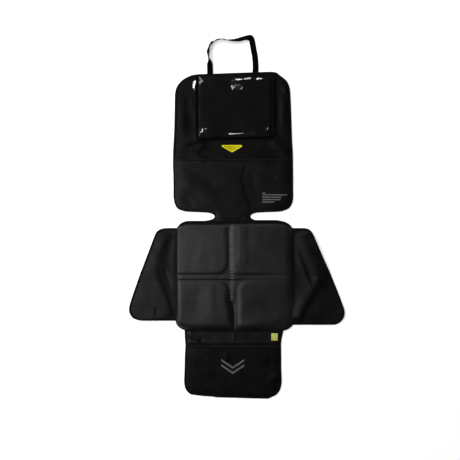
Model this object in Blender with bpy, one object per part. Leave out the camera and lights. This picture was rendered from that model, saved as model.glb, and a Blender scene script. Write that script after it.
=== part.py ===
"""A padded mat that protects a car seat, laid out flat with its face up.

Units are metres and Z points up. The floor is z = 0. The origin is the middle of the seat
section's underside, and +Y points to the head end, where the hanging strap is. Each panel
is a sheet in a folded edge tape, and the panels meet under the edge of the seat section.
"""

import math

import bmesh
import bpy
from mathutils import Vector

# Cloth, tape and foam
GAP = 0.0003
TAPE = 0.0006
TAPE_LEAF = 0.007
BASE_PLY = 0.0015
FRONT_PLY = 0.0010
BACKING = 0.0012
COVER = 0.0015
VINYL = 0.0008
BADGE = 0.0008
PRINT = 0.0002

# Seat section
SEAT_WIDTH = 0.438
SEAT_LENGTH = 0.412
SEAT_HEAD_RADIUS = 0.050
SEAT_FOOT_RADIUS = 0.040
UNDERLAP_SPARE = 0.006
PAD_SIDE_MARGIN = 0.0095
PAD_END_MARGIN = 0.014
PAD_RISE = 0.014
PAD_EDGE = 0.012
PAD_OUTER_RADIUS = 0.034
PAD_INNER_RADIUS = 0.036
LENGTHWISE_CHANNEL = 0.035
LENGTHWISE_CHANNEL_X = -0.0065
CROSS_CHANNEL = 0.022
CROSS_CHANNEL_Y = -0.002

# Measuring scale printed along the lengthwise channel
SCALE_STEP = 0.010
SCALE_MARKS = 29
SCALE_MARK_LENGTH = 0.0075
SCALE_MARK_WIDTH = 0.0040
SCALE_SPINE = 0.0016
SCALE_X = -0.0085
SCALE_MARGIN = 0.011

# Back section
BACK_FOOT_WIDTH = 0.447
BACK_HEAD_WIDTH = 0.431
BACK_X = -0.0025
BACK_LENGTH = 0.520
BACK_HEAD_SLOPE = 0.014
BACK_HEAD_RADIUS = 0.072
BACK_FOOT_RADIUS = 0.054
NECK_WIDTH = 0.126
NECK_X = -0.0056
NOTCH_HEIGHT = 0.034
NOTCH_NOSE = 0.050
FOOT_BOW = 0.002
HIDDEN_RADIUS_SPARE = 0.005

# Open pocket across the foot of the back section
STORAGE_DEPTH = 0.200
STORAGE_MARGIN = 0.017
STORAGE_FOOT_MARGIN = 0.024
STORAGE_RISE = 0.0060
POCKET_EDGE = 0.0050
PLATEAU_RADIUS = 0.040
HEM_WIDTH = 0.009

# Clear pocket for a tablet computer
TABLET_WIDTH = 0.311
TABLET_LENGTH = 0.232
TABLET_ABOVE_STORAGE = 0.072
TABLET_RADIUS = 0.014
TABLET_FLANGE = 0.007
TABLET_RISE = 0.012
TABLET_EDGE = 0.010
TRAY_RADIUS = 0.016
EDGING_OVERHANG = 0.0025

# Plain badge and plain printed lines
BADGE_WIDTH = 0.088
BADGE_HEIGHT = 0.030
BADGE_X = -0.0075
BADGE_ABOVE_STORAGE = 0.022
BADGE_RADIUS = 0.004
LINE_LENGTHS = (0.011, 0.094, 0.072, 0.070, 0.046)
LINE_HEIGHT = 0.0042
LINE_PITCH = 0.0090
LINES_FROM_SIDE = 0.115
LINES_ABOVE_FOOT = 0.027

# Hanging strap
STRAP_WIDTH = 0.020
STRAP_THICKNESS = 0.0010
STRAP_LEFT_X = -0.0895
STRAP_RIGHT_X = 0.0805
STRAP_REACH = 0.135
STRAP_TUCK = 0.006

# Side wings: how far each corner stands out from the seat, and where it lies along the seat
WING_HEAD_Y = 0.179
LEFT_HEAD_REACH = 0.067
LEFT_FOOT_REACH = 0.192
LEFT_FOOT_Y = -0.168
RIGHT_HEAD_REACH = 0.070
RIGHT_FOOT_REACH = 0.215
RIGHT_FOOT_Y = -0.183
WING_HEAD_RADIUS = 0.030
WING_FOOT_RADIUS = 0.041

# Front section
FRONT_WIDTH = 0.362
FRONT_X = -0.0035
FRONT_LENGTH = 0.250
FRONT_FOOT_SLOPE = -0.007
FRONT_RADIUS = 0.046
BAND_LENGTH = 0.053
FRONT_POCKET_MARGIN = 0.017
FRONT_POCKET_RISE = 0.0060
CHEVRON_WIDTH = 0.086
CHEVRON_DROP = 0.029
CHEVRON_STROKE = 0.0062
CHEVRON_PITCH = 0.0195
CHEVRON_X = -0.0045
CHEVRON_FROM_MOUTH = 0.054
TAB_WIDTH = 0.024
TAB_HEIGHT = 0.027
TAB_FROM_SIDE = 0.014
TAB_FROM_SEAT = 0.008

# How far each panel runs under the seat's edge: both leaves of its tape, and a strip between them
UNDERLAP = 2 * TAPE_LEAF + UNDERLAP_SPARE
PANEL_INNER_RADIUS = TAPE_LEAF + HIDDEN_RADIUS_SPARE

# Levels, worked out from the stack of sheets
BASE_LOW = TAPE + GAP
BASE_HIGH = BASE_LOW + BASE_PLY
FRONT_LOW = BASE_HIGH + GAP
FRONT_HIGH = FRONT_LOW + FRONT_PLY
LEAF_LOW = FRONT_HIGH + GAP
PANEL_TOP = LEAF_LOW + TAPE
SEAT_TAPE_LOW = PANEL_TOP + GAP
COVER_LOW = SEAT_TAPE_LOW + TAPE + GAP
COVER_HIGH = COVER_LOW + COVER
SEAT_TAPE_HIGH = COVER_HIGH + GAP + TAPE
PAD_TOP = COVER_HIGH + PAD_RISE

# Fineness of the curves, and how far a cutter runs past what it cuts
ARC_STEP = math.radians(18)
EDGE_STEPS = 3
FLAT_ANGLE = math.radians(0.5)
STRAP_RESOLUTION = 3
WELD = 0.00001
OVERRUN = 0.030
FAR = 2.0

FINISHES = {
    "black_cloth": ((0.016, 0.016, 0.017), 0.75),
    "black_tape": ((0.008, 0.008, 0.009), 0.60),
    "black_mesh": ((0.010, 0.010, 0.011), 0.85),
    "soft_leather": ((0.030, 0.030, 0.031), 0.42),
    "clear_vinyl": ((0.060, 0.060, 0.062), 0.12),
    "yellow": ((0.90, 0.82, 0.02), 0.45),
    "lime_yellow": ((0.80, 0.86, 0.04), 0.55),
    "grey_print": ((0.36, 0.36, 0.36), 0.60),
    "grey_foam": ((0.20, 0.20, 0.21), 0.90),
    "rubber_dots": ((0.020, 0.020, 0.021), 0.80),
    "black_webbing": ((0.010, 0.010, 0.011), 0.70),
}


def clear_scene():
    """Remove every object, so that the mat is alone in the scene."""
    for thing in list(bpy.data.objects):
        bpy.data.objects.remove(thing, do_unlink=True)


def new_collection(name):
    """Return a new collection, linked to the scene."""
    collection = bpy.data.collections.new(name)
    bpy.context.scene.collection.children.link(collection)
    return collection


def finish(name):
    """Return the material of this name, and make it the first time it is asked for."""
    if name in bpy.data.materials:
        return bpy.data.materials[name]
    color, roughness = FINISHES[name]
    material = bpy.data.materials.new(name)
    material.use_nodes = True
    shader = material.node_tree.nodes["Principled BSDF"]
    shader.inputs["Base Color"].default_value = (*color, 1)
    shader.inputs["Roughness"].default_value = roughness
    shader.inputs["Metallic"].default_value = 0.0
    return material


def rounded(corners):
    """Return an outline through (x, y, radius) corners, with an arc at each corner that has a radius."""
    outline = []
    for index, (x, y, radius) in enumerate(corners):
        here = Vector((x, y))
        if radius == 0:
            outline.append(here)
            continue
        before = Vector(corners[index - 1][:2]) - here
        after = Vector(corners[(index + 1) % len(corners)][:2]) - here
        half = before.angle(after) / 2
        run = min(radius / math.tan(half), 0.49 * before.length, 0.49 * after.length)
        radius = run * math.tan(half)
        centre = here + (before.normalized() + after.normalized()).normalized() * radius / math.sin(half)
        start = here + before.normalized() * run - centre
        turn = start.angle_signed(here + after.normalized() * run - centre)
        steps = max(2, math.ceil(abs(turn) / ARC_STEP))
        for step in range(steps + 1):
            angle = -turn * step / steps
            spoke = Vector((start.x * math.cos(angle) - start.y * math.sin(angle),
                            start.x * math.sin(angle) + start.y * math.cos(angle)))
            outline.append(centre + spoke)
    return outline


def offset(outline, distance):
    """Return an anticlockwise outline moved outwards by a distance, or inwards where it is negative."""
    moved = []
    for index, here in enumerate(outline):
        before = (here - outline[index - 1]).normalized()
        after = (outline[(index + 1) % len(outline)] - here).normalized()
        across = Vector((before.y + after.y, -before.x - after.x)).normalized()
        moved.append(here + across * distance / across.dot(Vector((before.y, -before.x))))
    return moved


def rectangle(left, right, low, high, radius=0):
    """Return the corners of an anticlockwise rectangle."""
    return [(left, low, radius), (right, low, radius), (right, high, radius), (left, high, radius)]


def weld(mesh):
    """Join the loose caps of a mesh that came from a curve, and turn its faces outwards."""
    work = bmesh.new()
    work.from_mesh(mesh)
    bmesh.ops.remove_doubles(work, verts=work.verts, dist=WELD)
    bmesh.ops.recalc_face_normals(work, faces=work.faces)
    work.to_mesh(mesh)
    work.free()


def meshed(curve, name, height=0):
    """Return a mesh object made from curve data, lifted to a height. The curve's own object is removed."""
    holder = bpy.data.objects.new(name + "_curve", curve)
    holder.location.z = height
    bpy.context.scene.collection.objects.link(holder)
    graph = bpy.context.evaluated_depsgraph_get()
    mesh = bpy.data.meshes.new_from_object(holder.evaluated_get(graph))
    mesh.name = name
    weld(mesh)
    body = bpy.data.objects.new(name, mesh)
    body.matrix_world = holder.matrix_world
    bpy.data.objects.remove(holder, do_unlink=True)
    return body


def slab(name, outline, low, high, home=None, material=None):
    """Return a flat sheet of this outline between two heights. With no material it is a cutter."""
    curve = bpy.data.curves.new(name, "CURVE")
    curve.dimensions = "2D"
    curve.fill_mode = "BOTH"
    curve.extrude = (high - low) / 2
    spline = curve.splines.new("POLY")
    spline.points.add(len(outline) - 1)
    for point, place in zip(spline.points, outline):
        point.co = (place.x, place.y, 0, 1)
    spline.use_cyclic_u = True
    body = meshed(curve, name, (low + high) / 2)
    flatten_faces(body.data)
    return placed(body, home, material)


def flatten_faces(mesh):
    """Make each flat face of a mesh one polygon."""
    work = bmesh.new()
    work.from_mesh(mesh)
    bmesh.ops.dissolve_limit(work, angle_limit=FLAT_ANGLE, verts=work.verts, edges=work.edges)
    work.to_mesh(mesh)
    work.free()


def placed(body, home, material):
    """Put an object in its collection under its parent, as a piece or, with no material, as a cutter."""
    body.parent = home
    if material is None:
        CUTTERS.objects.link(body)
        body.hide_render = True
        body.display_type = "WIRE"
    else:
        MAT.objects.link(body)
        body.data.materials.clear()
        body.data.materials.append(finish(material))
    return body


def soften_rim(body, high, edge):
    """Round the upper rim of a slab whose top lies at this height above its object's centre."""
    work = bmesh.new()
    work.from_mesh(body.data)
    top = max(work.faces, key=lambda face: face.calc_center_median().z)
    bmesh.ops.bevel(work, geom=list(top.edges), offset=min(edge, high), segments=EDGE_STEPS,
                    profile=0.5, affect="EDGES", clamp_overlap=True)
    work.to_mesh(body.data)
    work.free()
    return body


def hump(name, outline, low, high, edge, home, material=None):
    """Return a block with a rounded upper rim."""
    return soften_rim(slab(name, outline, low, high, home, material), high - low, edge)


def combine(body, other, operation):
    """Add a Boolean with another object to this one."""
    modifier = body.modifiers.new(operation.lower() + "_" + other.name, "BOOLEAN")
    modifier.operation = operation
    modifier.object = other
    modifier.solver = "EXACT"


def keep_between(body, low_y, high_y, home):
    """Keep only what lies between two places along Y."""
    outline = rounded(rectangle(-FAR, FAR, low_y, high_y))
    combine(body, slab(body.name + "_keep", outline, -FAR, FAR, home), "INTERSECT")


def raise_shell(body, outline, sheet_low, thickness, rise, edge, home):
    """Raise a hollow plateau of this outline out of a sheet, with a wall as thick as the sheet."""
    crest = sheet_low + thickness + rise
    outer = hump(body.name + "_outside", outline, sheet_low + thickness / 2, crest, edge, home)
    inner = hump(body.name + "_hollow", offset(outline, -thickness), sheet_low - thickness,
                 crest - thickness, edge - thickness, home)
    combine(body, outer, "UNION")
    combine(body, inner, "DIFFERENCE")


def edge_tape(name, outline, low, high, home):
    """Return the tape that is folded round the edge of a panel, between its lowest and highest level."""
    body = slab(name, offset(outline, GAP + TAPE), low, high, home, "black_tape")
    fold = slab(name + "_fold", offset(outline, GAP), low + TAPE, high - TAPE, home)
    window = slab(name + "_window", offset(outline, -TAPE_LEAF), low - OVERRUN, high + OVERRUN, home)
    combine(body, fold, "DIFFERENCE")
    combine(body, window, "DIFFERENCE")
    return body


def station(name, x, y):
    """Return an empty that marks where a section of the mat starts."""
    empty = bpy.data.objects.new(name, None)
    empty.empty_display_size = 0.05
    empty.location = (x, y, 0)
    MAT.objects.link(empty)
    bpy.context.view_layer.update()
    return empty


def seat_outline():
    """Return the outline of the seat section."""
    half_width = SEAT_WIDTH / 2
    half_length = SEAT_LENGTH / 2
    return rounded([
        (-half_width, -half_length, SEAT_FOOT_RADIUS),
        (half_width, -half_length, SEAT_FOOT_RADIUS),
        (half_width, half_length, SEAT_HEAD_RADIUS),
        (-half_width, half_length, SEAT_HEAD_RADIUS),
    ])


def pad_outlines():
    """Return the outline of each of the four seat pads by name. The channels keep them apart."""
    sides = {
        "left": (-SEAT_WIDTH / 2 + PAD_SIDE_MARGIN, LENGTHWISE_CHANNEL_X - LENGTHWISE_CHANNEL / 2),
        "right": (LENGTHWISE_CHANNEL_X + LENGTHWISE_CHANNEL / 2, SEAT_WIDTH / 2 - PAD_SIDE_MARGIN),
    }
    ends = {
        "head": (CROSS_CHANNEL_Y + CROSS_CHANNEL / 2, SEAT_LENGTH / 2 - PAD_END_MARGIN),
        "foot": (-SEAT_LENGTH / 2 + PAD_END_MARGIN, CROSS_CHANNEL_Y - CROSS_CHANNEL / 2),
    }
    outlines = {}
    for end, (low, high) in ends.items():
        for side, (left, right) in sides.items():
            inner = (right if side == "left" else left, low if end == "head" else high)
            corners = [
                (x, y, PAD_INNER_RADIUS if (x, y) == inner else PAD_OUTER_RADIUS)
                for x, y, _ in rectangle(left, right, low, high)
            ]
            outlines[f"{end}_{side}"] = rounded(corners)
    return outlines


def make_seat():
    """Build the seat section: backing, foam, leather cover, edge tape and printed scale."""
    home = station("seat", 0, 0)
    outline = seat_outline()
    inside = offset(outline, -(UNDERLAP + GAP + TAPE + GAP))
    slab("seat_backing", inside, 0, BACKING, home, "rubber_dots")
    slab("seat_underlay", inside, BACKING + GAP, COVER_LOW - GAP, home, "grey_foam")
    cover = slab("seat_cover", outline, COVER_LOW, COVER_HIGH, home, "soft_leather")
    for name, pad in pad_outlines().items():
        raise_shell_of_pad(cover, name, pad, home)
    edge_tape("seat_binding", outline, SEAT_TAPE_LOW, SEAT_TAPE_HIGH, home)
    make_scale(home)


def raise_shell_of_pad(cover, name, pad, home):
    """Raise one pad in the seat cover, and put its foam inside."""
    skin = COVER + GAP
    outer = hump(f"pad_outside_{name}", pad, COVER_LOW + COVER / 2, PAD_TOP, PAD_EDGE, home)
    inner = hump(f"pad_hollow_{name}", offset(pad, -COVER), COVER_LOW - COVER, PAD_TOP - COVER,
                 PAD_EDGE - COVER, home)
    combine(cover, outer, "UNION")
    combine(cover, inner, "DIFFERENCE")
    hump(f"foam_pad_{name}", offset(pad, -skin), COVER_LOW, PAD_TOP - skin, PAD_EDGE - skin,
         home, "grey_foam")


def make_scale(home):
    """Build the printed scale: a row of marks on each side of a thin line."""
    last = SEAT_LENGTH / 2 - SCALE_MARGIN
    right_side = []
    for mark in reversed(range(SCALE_MARKS)):
        low = last - mark * SCALE_STEP - SCALE_MARK_WIDTH
        high = low + SCALE_MARK_WIDTH
        right_side += [(SCALE_SPINE / 2, low), (SCALE_SPINE / 2 + SCALE_MARK_LENGTH, low),
                       (SCALE_SPINE / 2 + SCALE_MARK_LENGTH, high), (SCALE_SPINE / 2, high)]
    left_side = [(-x, y) for x, y in reversed(right_side)]
    outline = [Vector((SCALE_X + x, y)) for x, y in right_side + left_side]
    slab("centre_scale", outline, COVER_HIGH + GAP, COVER_HIGH + GAP + PRINT, home, "grey_print")


def back_side(y):
    """Return how far the back section reaches to each side of its middle at this distance from the seat."""
    share = (y - NOTCH_HEIGHT) / BACK_LENGTH
    return (BACK_FOOT_WIDTH + (BACK_HEAD_WIDTH - BACK_FOOT_WIDTH) * share) / 2


def notch(side):
    """Return the points round the notch beside the neck, from the back section down to the seat."""
    nose = NECK_X + side * NECK_WIDTH / 2
    points = []
    steps = 12
    for step in range(steps + 1):
        angle = math.pi / 2 - math.pi * step / steps
        x = nose + side * NOTCH_NOSE * (1 - math.cos(angle))
        points.append((x, NOTCH_HEIGHT / 2 * (1 + math.sin(angle)), 0))
    return points


def back_outline(head_y, head_radius, slope=0.0):
    """Return the outline of the back section up to a place along its length."""
    root = NECK_WIDTH / 2 + NOTCH_NOSE
    left_notch = notch(-1)
    right_notch = notch(1)[::-1]
    low_left = (NECK_X - root, -UNDERLAP, PANEL_INNER_RADIUS)
    low_right = (NECK_X + root, -UNDERLAP, PANEL_INNER_RADIUS)
    foot = back_side(NOTCH_HEIGHT)
    head = back_side(head_y)
    return rounded([
        low_left,
        low_right,
        *right_notch,
        (BACK_X + foot, NOTCH_HEIGHT + FOOT_BOW, BACK_FOOT_RADIUS),
        (BACK_X + head, head_y + slope / 2, head_radius),
        (BACK_X - head, head_y - slope / 2, head_radius),
        (BACK_X - foot, NOTCH_HEIGHT + FOOT_BOW, BACK_FOOT_RADIUS),
        *left_notch,
    ])


def make_back():
    """Build the back section with its edge tape, pockets, badge, printed lines and strap."""
    home = station("back", 0, SEAT_LENGTH / 2)
    head = NOTCH_HEIGHT + BACK_LENGTH
    outline = back_outline(head, BACK_HEAD_RADIUS, BACK_HEAD_SLOPE)
    slab("back_panel", outline, BASE_LOW, BASE_HIGH, home, "black_cloth")
    tape = edge_tape("back_binding", outline, 0, PANEL_TOP, home)
    make_storage_pocket(home)
    make_tablet_pocket(home)
    make_badge(home)
    make_lines(home)
    make_strap(home, tape)


def make_storage_pocket(home):
    """Build the pocket across the foot of the back section, open towards the head end."""
    mouth = NOTCH_HEIGHT + STORAGE_DEPTH
    ply = back_outline(mouth + OVERRUN / 2, 0)
    pocket = slab("storage_pocket", ply, FRONT_LOW, FRONT_HIGH, home, "black_cloth")
    foot = NOTCH_HEIGHT + STORAGE_FOOT_MARGIN
    reach = back_side(mouth) - STORAGE_MARGIN
    plateau = rounded([
        (BACK_X - reach, foot, PLATEAU_RADIUS),
        (BACK_X + reach, foot, PLATEAU_RADIUS),
        (BACK_X + reach, mouth + OVERRUN, 0),
        (BACK_X - reach, mouth + OVERRUN, 0),
    ])
    raise_shell(pocket, plateau, FRONT_LOW, FRONT_PLY, STORAGE_RISE, POCKET_EDGE, home)
    keep_between(pocket, -FAR / 2, mouth, home)
    reach = back_side(mouth) - TAPE_LEAF - GAP
    make_hem("storage_pocket_hem", BACK_X, reach, mouth, plateau, STORAGE_RISE, home)


def make_hem(name, middle, reach, mouth, plateau, rise, home):
    """Build the tape along a pocket's mouth, which follows the pocket's raised middle."""
    strip = rounded(rectangle(middle - reach, middle + reach, mouth - HEM_WIDTH - OVERRUN / 2,
                              mouth + OVERRUN / 2))
    hem = slab(name, strip, LEAF_LOW, PANEL_TOP, home, "black_tape")
    raise_shell(hem, offset(plateau, GAP + TAPE), LEAF_LOW, TAPE, rise, POCKET_EDGE + GAP + TAPE, home)
    keep_between(hem, mouth - HEM_WIDTH, mouth, home)


def make_tablet_pocket(home):
    """Build the clear pocket for a tablet, open at its head edge, with tape on its other edges."""
    foot = NOTCH_HEIGHT + STORAGE_DEPTH + TABLET_ABOVE_STORAGE
    mouth = foot + TABLET_LENGTH
    half = TABLET_WIDTH / 2
    flange = rounded([
        (-half, foot, TABLET_RADIUS),
        (half, foot, TABLET_RADIUS),
        (half, mouth + OVERRUN, 0),
        (-half, mouth + OVERRUN, 0),
    ])
    reach = half - TABLET_FLANGE
    tray = rounded([
        (-reach, foot + TABLET_FLANGE, TRAY_RADIUS),
        (reach, foot + TABLET_FLANGE, TRAY_RADIUS),
        (reach, mouth + 2 * OVERRUN, 0),
        (-reach, mouth + 2 * OVERRUN, 0),
    ])
    pocket = slab("tablet_pocket", flange, FRONT_LOW, FRONT_LOW + VINYL, home, "clear_vinyl")
    raise_shell(pocket, tray, FRONT_LOW, VINYL, TABLET_RISE, TABLET_EDGE, home)
    keep_between(pocket, foot - OVERRUN, mouth, home)
    low = FRONT_LOW + VINYL + GAP
    edging = slab("tablet_pocket_edging", offset(flange, EDGING_OVERHANG), low, low + TAPE, home,
                  "black_tape")
    window = slab("tablet_edging_window", offset(tray, GAP), low - OVERRUN, low + OVERRUN, home)
    combine(edging, window, "DIFFERENCE")
    keep_between(edging, foot - OVERRUN, mouth, home)


def make_badge(home):
    """Build the plain three-cornered badge above the storage pocket, pointing to the seat."""
    low = NOTCH_HEIGHT + STORAGE_DEPTH + BADGE_ABOVE_STORAGE
    high = low + BADGE_HEIGHT
    outline = rounded([
        (BADGE_X, low, BADGE_RADIUS),
        (BADGE_X + BADGE_WIDTH / 2, high, BADGE_RADIUS),
        (BADGE_X - BADGE_WIDTH / 2, high, BADGE_RADIUS),
    ])
    slab("triangle_badge", outline, FRONT_LOW, FRONT_LOW + BADGE, home, "yellow")


def make_lines(home):
    """Build the plain printed lines on the storage pocket."""
    low = FRONT_HIGH + STORAGE_RISE + GAP
    left = BACK_X + BACK_FOOT_WIDTH / 2 - LINES_FROM_SIDE
    top = NOTCH_HEIGHT + LINES_ABOVE_FOOT + len(LINE_LENGTHS) * LINE_PITCH
    for index, length in enumerate(LINE_LENGTHS):
        foot = top - index * LINE_PITCH
        outline = rounded(rectangle(left, left + length, foot, foot + LINE_HEIGHT))
        slab(f"print_line_{index + 1}", outline, low, low + PRINT, home, "grey_print")


def make_strap(home, tape):
    """Build the webbing loop, sewn in between the back section and its tape at both ends."""
    head = NOTCH_HEIGHT + BACK_LENGTH
    slope = BACK_HEAD_SLOPE / BACK_HEAD_WIDTH
    left_root = head + slope * (STRAP_LEFT_X - BACK_X)
    right_root = head + slope * (STRAP_RIGHT_X - BACK_X)
    laid = GAP + STRAP_THICKNESS / 2
    tucked = FRONT_LOW + STRAP_THICKNESS / 2
    on_edge = GAP + STRAP_WIDTH / 2
    top = head + STRAP_REACH
    left, right = STRAP_LEFT_X, STRAP_RIGHT_X
    # Each point: x, y, height of the webbing's middle, and its lean from standing on edge
    route = [
        (left, left_root - STRAP_TUCK, tucked, 90),
        (left, left_root + 0.006, tucked, 90),
        (left - 0.001, left_root + 0.026, tucked + 0.001, 80),
        (left - 0.002, left_root + 0.044, on_edge - 0.003, 48),
        (left - 0.003, left_root + 0.064, on_edge, 12),
        (left - 0.004, left_root + 0.084, on_edge, 14),
        (left - 0.003, top - 0.033, on_edge, 14),
        (left + 0.003, top - 0.018, on_edge, 10),
        (left + 0.015, top - 0.010, on_edge, 4),
        (left + 0.040, top - 0.007, on_edge, 4),
        (left + 0.068, top - 0.008, on_edge, 16),
        (right - 0.070, top - 0.009, on_edge - 0.002, 40),
        (right - 0.048, top - 0.004, laid + 0.005, 66),
        (right - 0.030, top, laid + 0.001, 86),
        (right - 0.017, top - 0.001, laid, 90),
        (right - 0.010, top - 0.011, laid, 90),
        (right - 0.008, top - 0.026, laid, 90),
        (right - 0.005, top - 0.050, laid, 90),
        (right - 0.001, right_root + 0.056, laid, 90),
        (right + 0.001, right_root + 0.030, laid + 0.001, 90),
        (right, right_root + 0.006, tucked, 90),
        (right, right_root - STRAP_TUCK, tucked, 90),
    ]
    curve = bpy.data.curves.new("hanging_strap", "CURVE")
    curve.dimensions = "3D"
    curve.twist_mode = "Z_UP"
    curve.resolution_u = STRAP_RESOLUTION
    curve.extrude = (STRAP_WIDTH - STRAP_THICKNESS) / 2
    curve.bevel_depth = STRAP_THICKNESS / 2
    curve.bevel_resolution = 0
    curve.use_fill_caps = True
    spline = curve.splines.new("BEZIER")
    spline.bezier_points.add(len(route) - 1)
    for point, (x, y, z, lean) in zip(spline.bezier_points, route):
        point.co = (x, y, z)
        point.tilt = math.radians(lean)
        point.handle_left_type = "AUTO"
        point.handle_right_type = "AUTO"
    placed(meshed(curve, "hanging_strap"), home, "black_webbing")
    for name, x, root in (("left", left, left_root), ("right", right, right_root)):
        half = STRAP_WIDTH / 2 + GAP
        outline = rounded(rectangle(x - half, x + half, root - STRAP_TUCK, root + OVERRUN))
        slot = slab(f"strap_slot_{name}", outline, FRONT_LOW - GAP / 2, FRONT_LOW + STRAP_THICKNESS + GAP / 2,
                    home)
        combine(tape, slot, "DIFFERENCE")


def wing_outline(head_reach, foot_reach, foot_y):
    """Return the outline of the right-hand wing with these reaches, from under the seat's edge."""
    return rounded([
        (-UNDERLAP, foot_y, PANEL_INNER_RADIUS),
        (foot_reach, foot_y, WING_FOOT_RADIUS),
        (head_reach, WING_HEAD_Y, WING_HEAD_RADIUS),
        (-UNDERLAP, WING_HEAD_Y, PANEL_INNER_RADIUS),
    ])


def make_wings():
    """Build the two side wings with their edge tapes."""
    right = wing_outline(RIGHT_HEAD_REACH, RIGHT_FOOT_REACH, RIGHT_FOOT_Y)
    left = wing_outline(LEFT_HEAD_REACH, LEFT_FOOT_REACH, LEFT_FOOT_Y)
    left = [Vector((-place.x, place.y)) for place in reversed(left)]
    for name, side, outline in (("left_wing", -1, left), ("right_wing", 1, right)):
        home = station(name + "_edge", side * SEAT_WIDTH / 2, 0)
        slab(name, outline, BASE_LOW, FRONT_HIGH, home, "black_cloth")
        edge_tape(name + "_binding", outline, 0, PANEL_TOP, home)


def front_outline(head_y):
    """Return the outline of the front section from its foot up to a place along its length."""
    left = FRONT_X - FRONT_WIDTH / 2
    right = FRONT_X + FRONT_WIDTH / 2
    radius = PANEL_INNER_RADIUS if head_y == UNDERLAP else 0
    return rounded([
        (left, -FRONT_LENGTH - FRONT_FOOT_SLOPE / 2, FRONT_RADIUS),
        (right, -FRONT_LENGTH + FRONT_FOOT_SLOPE / 2, FRONT_RADIUS),
        (right, head_y, radius),
        (left, head_y, radius),
    ])


def make_front():
    """Build the front section that hangs over the seat's edge, with its band and its pocket."""
    home = station("front", 0, -SEAT_LENGTH / 2)
    outline = front_outline(UNDERLAP)
    slab("front_flap", outline, BASE_LOW, BASE_HIGH, home, "black_cloth")
    edge_tape("front_flap_binding", outline, 0, PANEL_TOP, home)
    mouth = -BAND_LENGTH
    half = FRONT_WIDTH / 2
    band = rounded([
        (FRONT_X - half, mouth + GAP, 0),
        (FRONT_X + half, mouth + GAP, 0),
        (FRONT_X + half, UNDERLAP, PANEL_INNER_RADIUS),
        (FRONT_X - half, UNDERLAP, PANEL_INNER_RADIUS),
    ])
    slab("front_band", band, FRONT_LOW, FRONT_HIGH, home, "soft_leather")
    pocket = slab("front_pocket", front_outline(mouth + OVERRUN / 2), FRONT_LOW, FRONT_HIGH, home,
                  "black_mesh")
    reach = half - FRONT_POCKET_MARGIN
    foot = -FRONT_LENGTH + FRONT_POCKET_MARGIN + abs(FRONT_FOOT_SLOPE) / 2
    plateau = rounded([
        (FRONT_X - reach, foot, PLATEAU_RADIUS),
        (FRONT_X + reach, foot, PLATEAU_RADIUS),
        (FRONT_X + reach, mouth + OVERRUN, 0),
        (FRONT_X - reach, mouth + OVERRUN, 0),
    ])
    raise_shell(pocket, plateau, FRONT_LOW, FRONT_PLY, FRONT_POCKET_RISE, POCKET_EDGE, home)
    keep_between(pocket, -FAR / 2, mouth, home)
    make_hem("front_pocket_hem", FRONT_X, half - TAPE_LEAF - GAP, mouth, plateau, FRONT_POCKET_RISE,
             home)
    make_chevrons(home, mouth)
    make_tab(home)


def make_chevrons(home, mouth):
    """Build the two plain arrow marks printed on the front pocket, pointing away from the seat."""
    low = FRONT_HIGH + FRONT_POCKET_RISE + GAP
    half = CHEVRON_WIDTH / 2
    stroke = CHEVRON_STROKE * math.hypot(half, CHEVRON_DROP) / half
    for index, name in enumerate(("chevron_upper", "chevron_lower")):
        top = mouth - CHEVRON_FROM_MOUTH - index * CHEVRON_PITCH
        places = [
            (-half, top), (-half, top - stroke), (0, top - stroke - CHEVRON_DROP),
            (half, top - stroke), (half, top), (0, top - CHEVRON_DROP),
        ]
        outline = [Vector((CHEVRON_X + x, y)) for x, y in places]
        slab(name, outline, low, low + PRINT, home, "grey_print")


def make_tab(home):
    """Build the plain coloured tab sewn on the band."""
    right = FRONT_X + FRONT_WIDTH / 2 - TAB_FROM_SIDE
    outline = rounded(rectangle(right - TAB_WIDTH, right, -TAB_FROM_SEAT - TAB_HEIGHT, -TAB_FROM_SEAT))
    slab("side_tab", outline, FRONT_HIGH + GAP, FRONT_HIGH + GAP + BADGE, home, "lime_yellow")


clear_scene()
MAT = new_collection("car_seat_protector_mat")
CUTTERS = new_collection("cutters")
make_seat()
make_back()
make_wings()
make_front()
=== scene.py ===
"""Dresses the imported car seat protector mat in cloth, tape, mesh, leather, vinyl and webbing.

The mat lies face up on a pale floor. +Y points to the head end, with the hanging strap, and +Z
points up. Units are metres, and a value in millimetres is marked as such in its docstring.
"""

import enum
import logging
import math
from collections.abc import Callable, Sequence
from dataclasses import dataclass

import bpy
import numpy as np
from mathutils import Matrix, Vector


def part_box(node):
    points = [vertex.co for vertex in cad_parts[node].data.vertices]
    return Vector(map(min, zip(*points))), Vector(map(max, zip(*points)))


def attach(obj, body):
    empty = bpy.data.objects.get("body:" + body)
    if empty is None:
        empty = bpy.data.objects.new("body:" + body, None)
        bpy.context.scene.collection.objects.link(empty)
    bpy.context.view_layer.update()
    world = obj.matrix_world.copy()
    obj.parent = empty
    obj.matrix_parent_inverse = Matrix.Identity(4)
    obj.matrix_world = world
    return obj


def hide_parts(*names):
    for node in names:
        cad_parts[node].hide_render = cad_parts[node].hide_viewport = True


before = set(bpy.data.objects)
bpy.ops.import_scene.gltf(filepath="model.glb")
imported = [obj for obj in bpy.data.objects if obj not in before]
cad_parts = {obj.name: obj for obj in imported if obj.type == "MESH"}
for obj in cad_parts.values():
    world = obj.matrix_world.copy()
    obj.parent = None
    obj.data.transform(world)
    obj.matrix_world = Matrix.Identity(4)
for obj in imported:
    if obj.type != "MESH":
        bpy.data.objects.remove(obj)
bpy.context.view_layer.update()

LOG = logging.getLogger("mat")
MM = 0.001
WELD = 0.00002
SMOOTH_ANGLE = math.radians(50)
SHARP_ANGLE = math.radians(40)
OUTLINE_STEP = 0.008

Array = np.ndarray
Surface = Callable[[Array, Array], Array]


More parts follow.
